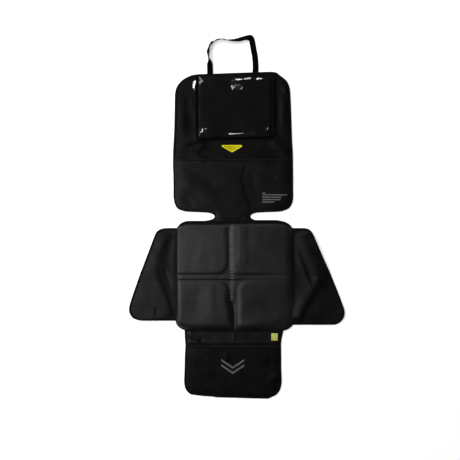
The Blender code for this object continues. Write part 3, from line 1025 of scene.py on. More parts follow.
@dataclass(frozen=True)
class Moulded:
    """A moulded or printed surface with a fine grain and faint wear."""

    name: str
    dark: tuple[float, float, float]
    light: tuple[float, float, float]
    roughness: float
    gloss: float
    grain: float
    depth: float

    def make(self) -> bpy.types.Material:
        """Build the material's nodes.

        Returns:
            The material.
        """
        n = Nodes(self.name)
        place = n.object_place()
        fine = n.add("ShaderNodeTexNoise", Vector=place, Scale=1.0 / self.grain, Detail=3.0).outputs["Fac"]
        patch = n.add("ShaderNodeTexNoise", Vector=place, Scale=120.0, Detail=4.0).outputs["Fac"]
        colour = n.tinted(n.ramp(patch, ((0.30, 0.0), (0.62, 1.0))), self.dark, self.light)
        worn = n.maths("ADD", n.maths("MULTIPLY", fine, 0.15), self.roughness - 0.07)
        bump = n.add("ShaderNodeBump", Strength=0.5, Distance=self.depth, Height=fine)
        shader = n.add("ShaderNodeBsdfPrincipled", Base_Color=colour, Roughness=worn,
                       Normal=bump.outputs["Normal"])
        n.feed(shader, "Specular IOR Level", self.gloss)
        return n.finish(shader.outputs[0])


@dataclass(frozen=True)
class Dotted:
    """A backing cloth with raised rubber dots that grip the seat."""

    name: str
    ground: tuple[float, float, float]
    dot: tuple[float, float, float]
    pitch: float

    def make(self) -> bpy.types.Material:
        """Build the material's nodes.

        Returns:
            The material.
        """
        n = Nodes(self.name)
        place = n.object_place()
        cells = n.add("ShaderNodeTexVoronoi", Vector=place, Scale=1.0 / self.pitch, Randomness=0.0)
        dots = n.ramp(cells.outputs["Distance"], ((0.24, 1.0), (0.32, 0.0)))
        fine = n.add("ShaderNodeTexNoise", Vector=place, Scale=2400.0, Detail=2.0).outputs["Fac"]
        height = n.maths("ADD", dots, n.maths("MULTIPLY", fine, 0.2))
        bump = n.add("ShaderNodeBump", Strength=0.8, Distance=0.0006, Height=height)
        colour = n.tinted(dots, self.ground, self.dot)
        shader = n.add("ShaderNodeBsdfPrincipled", Base_Color=colour, Roughness=0.7,
                       Normal=bump.outputs["Normal"])
        return n.finish(shader.outputs[0])


class Finishes:
    """Every finish on the mat, each made once."""

    def __init__(self) -> None:
        """Make the materials."""
        # The back, pocket and wing cloths stand for one black fabric. Painted light: the pocket's cloth and
        # the wings' cloth, which also covers the front flap and band, get lighter colours and more gloss than
        # the back's, and the back's gloss is held low, to stand for how the light falls on each part.
        self.back_cloth = Cloth("back_cloth", (0.0016, 0.0016, 0.0017), (0.0036, 0.0036, 0.0038),
                                0.50, 0.120, 0.0011, 0.00014).make()
        self.pocket_cloth = Cloth("pocket_cloth", (0.0020, 0.0020, 0.0021), (0.0044, 0.0044, 0.0046),
                                  0.50, 0.18, 0.0011, 0.00014).make()
        self.wing_cloth = Cloth("wing_cloth", (0.0022, 0.0022, 0.0023), (0.0042, 0.0042, 0.0044),
                                0.50, 0.25, 0.0011, 0.00014).make()
        self.mesh_cloth = Cloth("mesh_cloth", (0.0016, 0.0016, 0.0017), (0.0034, 0.0034, 0.0036),
                                0.58, 0.15, 0.0024, 0.00030, blotch=30.0).make()
        self.tape = Ribbed("edge_tape", (0.0022, 0.0022, 0.0023), (0.0046, 0.0046, 0.0048),
                           0.70, 0.09, 900.0, 14.0).make()
        self.hem = Ribbed("hem_tape", (0.0024, 0.0024, 0.0026), (0.0052, 0.0052, 0.0055),
                          0.66, 0.20, 300.0, 14.0).make()
        self.webbing = Ribbed("webbing", (0.0008, 0.0008, 0.0009), (0.0024, 0.0024, 0.0026),
                              0.85, 0.03, 420.0, 30.0).make()
        self.thread = Moulded("black_thread", (0.0020, 0.0020, 0.0021), (0.0045, 0.0045, 0.0047),
                              0.6, 0.15, 0.0004, 0.00005).make()
        self.leather = Leather("soft_leather", (0.0040, 0.0040, 0.0042), (0.0062, 0.0062, 0.0065),
                               0.45, 0.56, 0.0013).make()
        self.vinyl = Vinyl("clear_vinyl", 0.004, 0.02).make()
        self.yellow = Moulded("yellow_badge", (0.33, 0.29, 0.003), (0.47, 0.42, 0.005),
                              0.55, 0.14, 0.0006, 0.00008).make()
        self.rim = Moulded("yellow_rim", (0.62, 0.56, 0.006), (0.84, 0.77, 0.008),
                           0.55, 0.14, 0.0006, 0.00008).make()
        self.lime = Cloth("lime_tab", (0.40, 0.41, 0.075), (0.58, 0.59, 0.130),
                          0.6, 0.2, 0.0008, 0.00015, blotch=90.0).make()
        self.print = Moulded("grey_print", (0.055, 0.055, 0.055), (0.090, 0.090, 0.090),
                             0.5, 0.20, 0.0005, 0.00004).make()
        self.chevron = Moulded("light_print", (0.080, 0.080, 0.080), (0.125, 0.125, 0.125),
                               0.6, 0.15, 0.0005, 0.00004).make()
        self.foam = Moulded("grey_foam", (0.14, 0.14, 0.145), (0.20, 0.20, 0.205),
                            0.9, 0.1, 0.0018, 0.0006).make()
        self.backing = Dotted("rubber_dots", (0.010, 0.010, 0.011), (0.022, 0.022, 0.023), 0.006).make()


@dataclass(frozen=True)
class Bench:
    """Hands out finishes and signs pieces on to the frame."""

    finishes: Finishes

    def sign(self, piece: bpy.types.Object, material: bpy.types.Material, slot: str,
             *nodes: str) -> bpy.types.Object:
        """Dress a piece, let it ride on the mat and report it.

        Args:
            piece: The piece.
            material: Its material.
            slot: The name of a material slot; not used.
            nodes: The CAD nodes that it stands for.

        Returns:
            The same piece.
        """
        piece.data.materials.clear()
        piece.data.materials.append(material)
        activate(piece)
        bpy.ops.object.shade_smooth_by_angle(angle=SMOOTH_ANGLE)
        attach(piece, "root")
        if nodes:
            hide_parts(*nodes)
        LOG.info("%s: %d faces", piece.name, len(piece.data.polygons))
        return piece


@dataclass(frozen=True)
class EdgeTape:
    """A folded tape round the edge of a panel, with its row of stitches."""

    leaf: float = 0.0080
    ply: float = 0.0006
    stitch_inset: float = 0.0052
    step: float = 0.0035

    def profile(self, depth: float) -> Array:
        """Draw the tape's cross-section.

        Args:
            depth: Depth of the fold.

        Returns:
            Its corners, outward and up.
        """
        leaf, ply = self.leaf, self.ply
        outer = [(-leaf, 0.0), (-0.0012, 0.0), (-0.0003, 0.0006), (0.0, depth / 2), (-0.0003, depth - 0.0006),
                 (-0.0012, depth), (-leaf * 0.55, depth + 0.0002), (-leaf, depth - 0.0001)]
        inner = [(-leaf, depth - ply), (-leaf * 0.55, depth - ply + 0.0002), (-0.0015, depth - ply),
                 (-0.0008, depth / 2), (-0.0015, ply), (-leaf, ply)]
        return np.array(outer + inner)

    def build(self, bench: Bench, name: str, node: str, relief: Surface) -> list[bpy.types.Object]:
        """Build the tape that a CAD node stands for, and its thread.

        Args:
            bench: Where finishes come from.
            name: The panel's name.
            node: The tape's CAD node.
            relief: How the panel lies.

        Returns:
            The tape and the thread.
        """
        low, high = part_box(node)
        loop = Plan(node).loop(self.step)
        depth = high.z - low.z

        def level(x: Array, y: Array) -> Array:
            """Return the height of the fold's lower leaf."""
            return relief(x, y) + low.z

        tape = swept(f"{name}_tape", loop, self.profile(depth), level, True)
        bench.sign(tape, bench.finishes.tape, "black_tape", node)
        inner = loop - outward(loop, True) * self.stitch_inset

        def upper(x: Array, y: Array) -> Array:
            """Return the height of the fold's upper leaf."""
            return relief(x, y) + high.z

        thread = stitched(f"{name}_thread", inner, upper, True)
        bench.sign(thread, bench.finishes.thread, "black_tape")
        return [tape, thread]


def declare(plan: Plan) -> None:
    """Read a laid sheet's box and outline from its plan; nothing is done with them.

    Args:
        plan: The plan that it was cut to.
    """
    low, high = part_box(plan.node)
    loop = plan.loop(OUTLINE_STEP / 2.0, 0)


# Sub-assemblies


@dataclass(frozen=True)
class BackSection:
    """The back of the mat: its cloth, its edge tape and the open pocket across its foot."""

    cloth_ply: float = 0.0015
    pocket_ply: float = 0.0010
    pocket_lift: float = 0.0052
    hem_width: float = 0.0090
    hem_height: float = 0.0024

    def relief(self) -> Relief:
        """Describe how the back lies.

        Returns:
            Its folds, swells and ripples.
        """
        return Relief((
            Crease(((-222, 490), (-184, 493), (-145, 503), (-116, 512), (-96, 517), (-40, 514)), 7.6, 24, 7),
            Crease(((-222, 468), (-170, 471), (-140, 476)), 3.0, 14, 18),
            Crease(((-134, 504), (-84, 505), (-56, 499), (-16, 484)), 2.2, 12, 6),
            Crease(((-98, 486), (-130, 476), (-139, 460), (-128, 446), (-95, 442)), 4.4, 7, 20),
            Crease(((139, 512), (160, 494), (186, 474), (216, 466)), 5.4, 9, 18),
            Crease(((66, 484), (120, 480), (205, 474)), 2.8, 12, 9),
            Crease(((148, 352), (176, 345), (212, 341)), -2.6, 10, 8),
            Crease(((148, 362), (176, 357), (212, 353)), 2.2, 14, 8),
            Swell(-168, 615, -3.2, 12, 46, 6),
            Swell(-192, 580, 3.4, 16, 60),
            Swell(184, 640, 3.4, 18, 80),
            Swell(166, 610, -3.0, 10, 70),
            Crease(((186, 708), (193, 696), (199, 682)), 5.2, 8, 8),
            Crease(((146, 552), (171, 545), (214, 539)), 4.2, 16, 6),
            Crease(((150, 534), (160, 527), (168, 519)), 2.2, 5, 5),
            Ripple(0.70, 95, 11),
            Ripple(0.12, 26, 12),
        ), Plan("back_binding").loop(OUTLINE_STEP), base=0.0020)

    def pocket_relief(self, back: Relief) -> Surface:
        """Return how the pocket's cloth lies, over the way that the back lies.

        Args:
            back: How the back lies.

        Returns:
            The pocket's lift at each place.
        """
        own = Relief((
            Crease(((50, 430), (44, 392), (37, 366), (46, 324), (64, 280), (68, 246)), -4.6, 34, 9),
            Crease(((66, 430), (60, 390), (56, 362), (64, 322), (82, 282), (88, 246)), 0.5, 14, 16),
            Crease(((-216, 372), (-170, 358), (-130, 338), (-92, 292), (-58, 240)), 2.2, 26, 34),
            Crease(((-190, 300), (-168, 272), (-150, 252)), -1.4, 14, 16),
            Crease(((-60, 222), (-10, 219), (50, 221)), 2.2, 6, 5),
            Crease(((20, 214), (40, 226), (56, 232)), -1.8, 6, 6),
            Crease(((90, 430), (130, 400), (170, 392), (208, 396)), 1.8, 22, 20),
            Swell(-30, 330, 2.0, 50, 60, 20),
            Ripple(0.30, 60, 21),
        ), None, base=0.0016)
        edge = Plan("back_binding").loop(OUTLINE_STEP)
        inside = Relief((), edge).inside

        def lift(x: Array, y: Array) -> Array:
            """Add the pocket's own lift to the back's.

            Args:
                x: Places across.
                y: Places along.

            Returns:
                The lift at each place, which grows towards the mouth.
            """
            room = smoothstep(inside(x, y) / 0.040) * smoothstep((y - 0.225) / 0.060)
            mouth = self.pocket_lift * (0.45 + 0.55 * smoothstep((y - 0.300) / 0.120))
            near = 0.30 + 0.70 * smoothstep(inside(x, y) / 0.022)
            return back(x, y) + room * mouth + own(x, y) * near

        return lift

    def build(self, bench: Bench) -> tuple[Relief, Surface]:
        """Build the back section.

        Args:
            bench: Where finishes come from.

        Returns:
            How the back and its pocket lie.
        """
        finishes = bench.finishes
        back = self.relief()
        plan = Plan("back_panel")
        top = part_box("back_panel")[1].z
        cloth = laid_sheet("back_cloth", plan, lambda x, y: back(x, y) + top, self.cloth_ply)
        bench.sign(cloth, finishes.back_cloth, "black_cloth", "back_panel")
        pocket_lift = self.pocket_relief(back)
        pocket_plan = Plan("storage_pocket")
        pocket_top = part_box("storage_pocket")[0].z + self.pocket_ply

        def pocket_surface(x: Array, y: Array) -> Array:
            """Return the height of the pocket's cloth."""
            return pocket_lift(x, y) + pocket_top

        pocket = laid_sheet("storage_pocket_cloth", pocket_plan, pocket_surface, self.pocket_ply)
        bench.sign(pocket, finishes.pocket_cloth, "black_cloth", "storage_pocket")
        tape = EdgeTape().build(bench, "back", "back_binding", back)
        hem = pocket_hem(bench, "storage_pocket", "storage_pocket_hem", pocket_surface, self.hem_width,
                         self.hem_height)
        declare(plan)
        declare(pocket_plan)
        return back, pocket_surface


def pocket_hem(bench: Bench, name: str, node: str, surface: Surface, width: float,
               height: float) -> list[bpy.types.Object]:
    """Build the rounded hem along a pocket's mouth, with its two rows of stitches.

    Args:
        bench: Where finishes come from.
        name: The pocket's name.
        node: The hem's CAD node.
        surface: Height of the pocket's cloth.
        width: Width of the hem.
        height: How far it stands up.

    Returns:
        The hem and its threads.
    """
    low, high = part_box(node)
    half = width / 2.0
    stops, tuck, foot, stitch_offset = 120, 0.0009, 0.0012, 0.0024
    path = np.column_stack([np.linspace(low.x, high.x, stops), np.full(stops, high.y - half)])
    arch = [(half * math.cos(a), height * max(0.0, math.sin(a)) - tuck * (math.sin(a) < 0.01))
            for a in np.linspace(0.0, math.pi, 9)]
    profile = np.array(arch + [(-half, -foot), (half, -foot)])
    hem = swept(f"{name}_hem_tape", path, profile, surface, False)
    bench.sign(hem, bench.finishes.hem, "black_tape", node)
    made = [hem]
    for row, offset in enumerate((-stitch_offset, stitch_offset)):
        line = path + np.array([0.0, offset])
        rise = height * math.sqrt(1.0 - (offset / half) ** 2)
        thread = stitched(f"{name}_hem_thread_{row + 1}", line, lambda x, y, r=rise: surface(x, y) + r, False)
        bench.sign(thread, bench.finishes.thread, "black_tape")
        made.append(thread)
    return made


@dataclass(frozen=True)
class TabletPocket:
    """The clear pocket for a tablet computer: a raised film window in an edging of tape, with a black strip
    of painted shade along the right shoulder of its tray.
    """

    film: float = 0.0008
    rise: float = 0.0078
    wall: float = 0.0128
    foot_slope: float = 0.86
    left_flange: float = 0.0165
    right_flange: float = 0.0075
    foot_flange: float = 0.0015
    mouth_drop: float = 0.22
    mouth_run: float = 0.020
    edging_width: float = 0.0078
    edging_ply: float = 0.0010
    # The narrow black strip set by the next three values is painted shade: a dark line along the tray's right
    # shoulder, where its raised wall falls away.
    shade_line_width: float = 0.0040
    shade_line_place: tuple[float, float] = (0.1362, 0.528)
    shade_line_end: float = 0.004

    def creases(self) -> Relief:
        """Describe the creases in the film.

        Returns:
            Its creases and the dents at its corners.
        """
        return Relief((
            Crease(((-137, 742), (-145, 712), (-152, 682)), 3.4, 8, 8),
            Crease(((-134, 718), (-124, 728), (-110, 724)), 1.6, 4, 4),
            Crease(((-100, 722), (-80, 716), (-62, 702)), 1.9, 5, 5),
            Swell(3, 706, 5.9, 10, 9, 20),
            Swell(22, 712, 5.4, 9, 8, -20),
            Swell(34, 702, 4.6, 8, 7),
            Crease(((-10, 730), (30, 731), (62, 736), (84, 732), (104, 735), (128, 727)), 2.8, 5.5, 12, 0.1),
            Crease(((100, 720), (114, 716), (128, 712)), 2.4, 6, 6),
            Swell(-128, 534, 4.2, 9, 8, 30),
            Swell(-108, 544, 4.2, 9, 8, 30),
            Crease(((-50, 527), (0, 528), (60, 530), (104, 535)), 3.1, 5.8, 16, 0.25),
            Swell(126, 546, 4.4, 9, 7, 20),
            Crease(((-60, 640), (0, 610), (70, 600)), 0.9, 50, 60),
            Ripple(0.10, 60, 33),
        ), None, base=0.0002)

    def window(self, back: Relief) -> Surface:
        """Return the height of the film's upper face.

        Args:
            back: How the back lies.

        Returns:
            The surface.
        """
        low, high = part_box("tablet_pocket")
        creases = self.creases()

        def surface(x: Array, y: Array) -> Array:
            """Shape the film as a tray inside a flange, lower at its mouth.

            Args:
                x: Places across.
                y: Places along.

            Returns:
                The height at each place.
            """
            side = np.minimum(x - low.x - self.left_flange, high.x - x - self.right_flange)
            foot = (y - low.y - self.foot_flange) * self.foot_slope
            tray = smoothstep(np.minimum(side, foot) / self.wall)
            head = 1.0 - self.mouth_drop * smoothstep((y - high.y + self.mouth_run) / self.mouth_run)
            return low.z + self.film + back(x, y) + self.rise * tray * head + creases(x, y)

        return surface

    def edging_path(self) -> Array:
        """Draw the line of the edging, down one side, along the foot and up the other.

        Returns:
            Its points in the plane. The foot lies a little higher at the right.
        """
        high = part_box("tablet_pocket")[1]
        left, right, foot, lift, radius = -0.1392, 0.1530, 0.5125, 0.0060, 0.014
        arc = np.linspace(0.0, math.pi / 2.0, 9)
        down = [(left, high.y)]
        turn = [(left + radius - radius * math.cos(a), foot + radius - radius * math.sin(a)) for a in arc]
        far = foot + lift
        back = [(right - radius + radius * math.sin(a), far + radius - radius * math.cos(a)) for a in arc]
        return resampled(np.array(down + turn + back + [(right, high.y)]), 0.004, False)

    def build(self, bench: Bench, back: Relief) -> None:
        """Build the pocket on the back.

        Args:
            bench: Where finishes come from.
            back: How the back lies.
        """
        plan = Plan("tablet_pocket")
        surface = self.window(back)
        film = laid_sheet("tablet_window", plan, surface, self.film, cell=0.0017)
        bench.sign(film, bench.finishes.vinyl, "clear_vinyl", "tablet_pocket")
        path = self.edging_path()
        half, ply, shoulder, sunk = self.edging_width / 2.0, self.edging_ply, 0.0004, 0.0002
        profile = np.array([(half, 0.0), (half - shoulder, ply * 0.8), (0.0, ply),
                            (-half + shoulder, ply * 0.8), (-half, 0.0), (-half + shoulder, -sunk),
                            (half - shoulder, -sunk)])

        def on_flange(x: Array, y: Array) -> Array:
            """Return the height that the edging lies at."""
            return surface(x, y) + sunk

        edging = swept("tablet_edging", path, profile, on_flange, False)
        bench.sign(edging, bench.finishes.webbing, "black_tape", "tablet_pocket_edging")
        thread = stitched("tablet_edging_thread", path, lambda x, y: on_flange(x, y) + ply, False)
        bench.sign(thread, bench.finishes.thread, "black_tape")
        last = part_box("tablet_pocket")[1].y - self.shade_line_end
        stops = 60
        line = np.column_stack([np.full(stops, self.shade_line_place[0]),
                                np.linspace(self.shade_line_place[1], last, stops)])
        # Painted shade: a narrow black strip along the tray's right shoulder stands in for the shade of its
        # raised wall.
        narrow = profile * (self.shade_line_width / self.edging_width, 0.8)
        seam = swept("tablet_seam", line, narrow, on_flange, False)
        bench.sign(seam, bench.finishes.webbing, "black_tape")
        declare(plan)


@dataclass(frozen=True)
class SmallParts:
    """The badge, the printed marks and the side tab, each plain."""

    ink: float = 0.00005
    mark_lift: float = 0.0004
    tab_lift: float = 0.0003
    bar_cuts: int = 12
    mark_cuts: int = 16
    tab_cuts: int = 6
    first_bar_shift: float = -0.0034
    bar_shift: float = -0.0012
    mark_shift: float = 0.0034
    scale_middle: float = -0.0085
    scale_place: float = -0.0078
    scale_width: float = 0.85
    badge_width: float = 1.08
    badge_length: float = 0.92
    badge_shift: float = 0.0006
    rim_width: float = 0.0028
    rim_slope: float = 0.0006
    rim_depth: float = 0.0004

    def build(self, bench: Bench, back: Relief, pocket: Surface, flap: Surface, band: Surface,
              seat: Surface) -> None:
        """Lay each small part on what carries it.

        Args:
            bench: Where finishes come from.
            back: How the back lies.
            pocket: Height of the storage pocket's face.
            flap: Height of the front pocket's face.
            band: Height of the front band's face.
            seat: Height of the seat cover's face.
        """
        finishes = bench.finishes
        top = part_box("back_panel")[1].z
        plane = resting_plane("triangle_badge", lambda x, y: back(x, y) + top)
        badge = conformed("badge", "triangle_badge", plane, 0)
        self.rim(badge)
        bench.sign(badge, finishes.yellow, "yellow", "triangle_badge")
        badge.data.materials.append(finishes.rim)
        face = max(badge.data.polygons, key=lambda polygon: polygon.normal.z * polygon.area)
        for polygon in badge.data.polygons:
            polygon.material_index = int(polygon.index != face.index)
        for number in range(1, 6):
            bar = conformed(f"printed_bar_{number}", f"print_line_{number}",
                            lambda x, y: pocket(x, y) + self.ink, self.bar_cuts)
            self.shift(bar, self.first_bar_shift if number == 1 else self.bar_shift)
            bench.sign(bar, finishes.chevron, "grey_print", f"print_line_{number}")
        for name in ("chevron_upper", "chevron_lower"):
            mark = conformed(f"{name}_print", name, lambda x, y: flap(x, y) + self.mark_lift, self.mark_cuts)
            self.shift(mark, self.mark_shift)
            bench.sign(mark, finishes.chevron, "grey_print", name)
        tab = conformed("tab", "side_tab", lambda x, y: band(x, y) + self.tab_lift, self.tab_cuts)
        soften(tab, 0.0002)
        bench.sign(tab, finishes.lime, "lime_yellow", "side_tab")
        scale = conformed("seat_scale", "centre_scale", lambda x, y: seat(x, y) + self.ink, 0)
        for corner in scale.data.vertices:
            corner.co.x = self.scale_place + (corner.co.x - self.scale_middle) * self.scale_width
        bench.sign(scale, finishes.print, "grey_print", "centre_scale")

    def shift(self, mark: bpy.types.Object, along: float) -> None:
        """Move a printed mark towards the head by this much."""
        for corner in mark.data.vertices:
            corner.co.y += along

    def rim(self, badge: bpy.types.Object) -> None:
        """Sink the badge's face inside a narrow rim and round its edges.

        Args:
            badge: The badge.
        """
        low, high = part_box("triangle_badge")
        middle = (low.x + high.x) / 2.0
        for corner in badge.data.vertices:
            corner.co.x = middle + (corner.co.x - middle) * self.badge_width
            corner.co.y = low.y + self.badge_shift + (corner.co.y - low.y) * self.badge_length
        activate(badge)
        bpy.ops.object.mode_set(mode="EDIT")
        bpy.ops.mesh.select_all(action="SELECT")
        bpy.ops.mesh.dissolve_limited(angle_limit=math.radians(4))
        bpy.ops.mesh.select_all(action="DESELECT")
        bpy.ops.object.mode_set(mode="OBJECT")
        for face in badge.data.polygons:
            face.select = face.normal.z > 0.9
        bpy.ops.object.mode_set(mode="EDIT")
        bpy.ops.mesh.inset(thickness=self.rim_width, depth=0.0)
        bpy.ops.mesh.inset(thickness=self.rim_slope, depth=-self.rim_depth)
        bpy.ops.object.mode_set(mode="OBJECT")
        soften(badge, 0.00018)


@dataclass(frozen=True)
class HangingStrap:
    """The webbing loop at the head: it stands on edge on one side and lies flat on the other."""

    width: float = 0.0222
    ply: float = 0.0014
    steps: int = 9

    def route(self) -> Array:
        """Lay out the webbing's way from its left end to its right end.

        Returns:
            x, y and height in millimetres and lean in degrees, 90 where it lies flat, one row each.
        """
        return np.array([
            (-89.5, 751.2, 4.2, 90), (-89.5, 763.2, 4.2, 90), (-90.0, 783.2, 4.6, 84),
            (-91.0, 798.2, 6.0, 60), (-92.5, 806.2, 9.6, 24), (-94.5, 816.2, 10.6, 9),
            (-96.0, 829.2, 10.6, 15), (-96.5, 842.2, 10.4, 28), (-94.0, 854.0, 10.6, 18),
            (-89.5, 864.5, 10.6, 20), (-82.0, 874.0, 10.2, 28), (-71.0, 881.0, 10.4, 8),
            (-58.0, 885.0, 10.4, 5), (-46.0, 886.4, 10.4, 11), (-34.0, 884.2, 10.4, 5),
            (-22.0, 882.4, 10.4, 18), (-10.0, 882.0, 10.0, 27), (4.0, 882.4, 9.2, 35),
            (18.0, 884.4, 7.8, 48), (30.0, 887.6, 6.8, 52), (42.0, 890.8, 6.2, 54),
            (53.0, 892.0, 3.6, 74), (61.5, 892.6, 1.4, 90), (67.0, 883.0, 1.2, 90),
            (70.5, 866.0, 1.2, 90), (74.0, 846.0, 1.2, 90), (78.4, 822.7, 1.2, 90),
            (80.3, 801.7, 1.6, 90), (80.9, 780.7, 3.4, 90), (80.2, 764.7, 4.2, 90),
            (80.0, 756.7, 4.2, 90),
        ])

    def build(self, bench: Bench) -> None:
        """Build the strap.

        Args:
            bench: Where finishes come from.
        """
        route = self.route()
        corners = len(route)
        knots = np.arange(corners, dtype=float)
        stops = np.linspace(0.0, corners - 1.0, (corners - 1) * self.steps + 1)
        smooth = np.column_stack([hermite(knots, route[:, k], stops) for k in range(4)])
        places, lean = smooth[:, :3] * MM, np.radians(smooth[:, 3])
        along = np.gradient(places, axis=0)
        along /= np.linalg.norm(along, axis=1, keepdims=True)
        flat = np.column_stack([along[:, 1], -along[:, 0], np.zeros(len(along))])
        flat /= np.linalg.norm(flat, axis=1, keepdims=True)
        span = flat * np.sin(lean)[:, None] + np.array([0.0, 0.0, 1.0]) * np.cos(lean)[:, None]
        face = np.cross(along, span)
        half, ply = self.width / 2.0, self.ply / 2.0
        places[:, 2] = np.maximum(places[:, 2], half * np.cos(lean) + ply)
        profile = np.array([(half, 0.0), (half * 0.97, ply * 1.15), (half * 0.85, ply), (0.0, ply * 0.92),
                            (-half * 0.85, ply), (-half * 0.97, ply * 1.15), (-half, 0.0),
                            (-half * 0.97, -ply * 1.15), (-half * 0.85, -ply), (0.0, -ply * 0.92),
                            (half * 0.85, -ply), (half * 0.97, -ply * 1.15)])
        sides, spans = len(profile), len(places) - 1

        def place(across: Array, down: Array) -> Array:
            """Set the profile's corners across the route, leaning as the webbing leans.

            Args:
                across: Shares round the profile, from 0 to 1.
                down: Shares along the route, from 0 to 1.

            Returns:
                The places, one row each.
            """
            corner = np.rint(across * sides).astype(int) % sides
            stop = np.rint(down * spans).astype(int)
            return places[stop] + span[stop] * profile[corner, :1] + face[stop] * profile[corner, 1:]

        strap = mapped_grid("strap", sides, spans, place)
        cap_ends(strap)
        merge(strap, outside=True)
        bench.sign(strap, bench.finishes.webbing, "black_webbing", "hanging_strap")


def hermite(knots: Array, values: Array, stops: Array) -> Array:
    """Return values eased between knots by a cubic whose slopes are the neighbours' mean.

    Args:
        knots: Where the values are known.
        values: The known values.
        stops: Where they are wanted.

    Returns:
        The values at the stops.
    """
    slopes = np.gradient(values, knots)
    cell = np.clip(np.searchsorted(knots, stops, side="right") - 1, 0, len(knots) - 2)
    t = stops - knots[cell]
    a, b = values[cell], values[cell + 1]
    return ((2 * t**3 - 3 * t**2 + 1) * a + (t**3 - 2 * t**2 + t) * slopes[cell]
            + (3 * t**2 - 2 * t**3) * b + (t**3 - t**2) * slopes[cell + 1])


@dataclass(frozen=True)
class Wall:
    """How a pad's side rises: up a straight slope and over a rounded shoulder.

    width is in millimetres, and shoulder is how far the rounding reaches from the slope's top, in widths.
    """

    width: float
    shoulder: float


def wall_rise(share: Array, shoulder: Array) -> Array:
    """Return the height of a slope of width and height 1, rounded over its shoulder.

    Args:
        share: Distance from its foot, in widths.
        shoulder: How far the rounding reaches on each side of its top, in widths.

    Returns:
        The height, from 0 to 1.
    """
    held = np.clip(share, 0.0, 1.0 + shoulder)
    bend = np.maximum(held - 1.0 + shoulder, 0.0)
    return held - bend * bend / (4.0 * shoulder)


@dataclass(frozen=True)
class Pad:
    """One pad of the seat, in millimetres: its sewn lines along the two channels and its slopes there.

    slim is the share of the channel slope's width that is left where the channels cross, and slim_run is
    how far from the crossing it has its full width again.
    """

    channel: tuple[tuple[float, float], ...]
    cross: float
    side: Side
    head: bool
    channel_wall: Wall
    cross_wall: Wall
    radius: float = 38.0
    slim: float = 1.0
    slim_run: float = 90.0

    def rise(self, x: Array, y: Array) -> Array:
        """Work out how much of the pad's height is reached.

        Args:
            x: Places across.
            y: Places along.

        Returns:
            The share of the height at each place.
        """
        u, v = x / MM, y / MM
        rows, line = zip(*self.channel)
        across = (u - np.interp(v, rows, line)) * self.side.value
        along = (v - self.cross) * (1.0 if self.head else -1.0)
        short_x, short_y = self.radius - across, self.radius - along
        turned = self.radius - np.hypot(np.maximum(short_x, 0.0), np.maximum(short_y, 0.0))
        inset = np.where((short_x > 0.0) & (short_y > 0.0), turned, np.minimum(across, along))
        blend = 6.0
        pull = (np.maximum(along, 0.0) + blend) ** 3
        share = pull / (pull + (np.maximum(across, 0.0) + blend) ** 3)
        slim = self.slim + (1.0 - self.slim) * smoothstep(along / self.slim_run)
        width = share * slim * self.channel_wall.width + (1.0 - share) * self.cross_wall.width
        shoulder = share * self.channel_wall.shoulder + (1.0 - share) * self.cross_wall.shoulder
        return wall_rise(inset / width, shoulder)


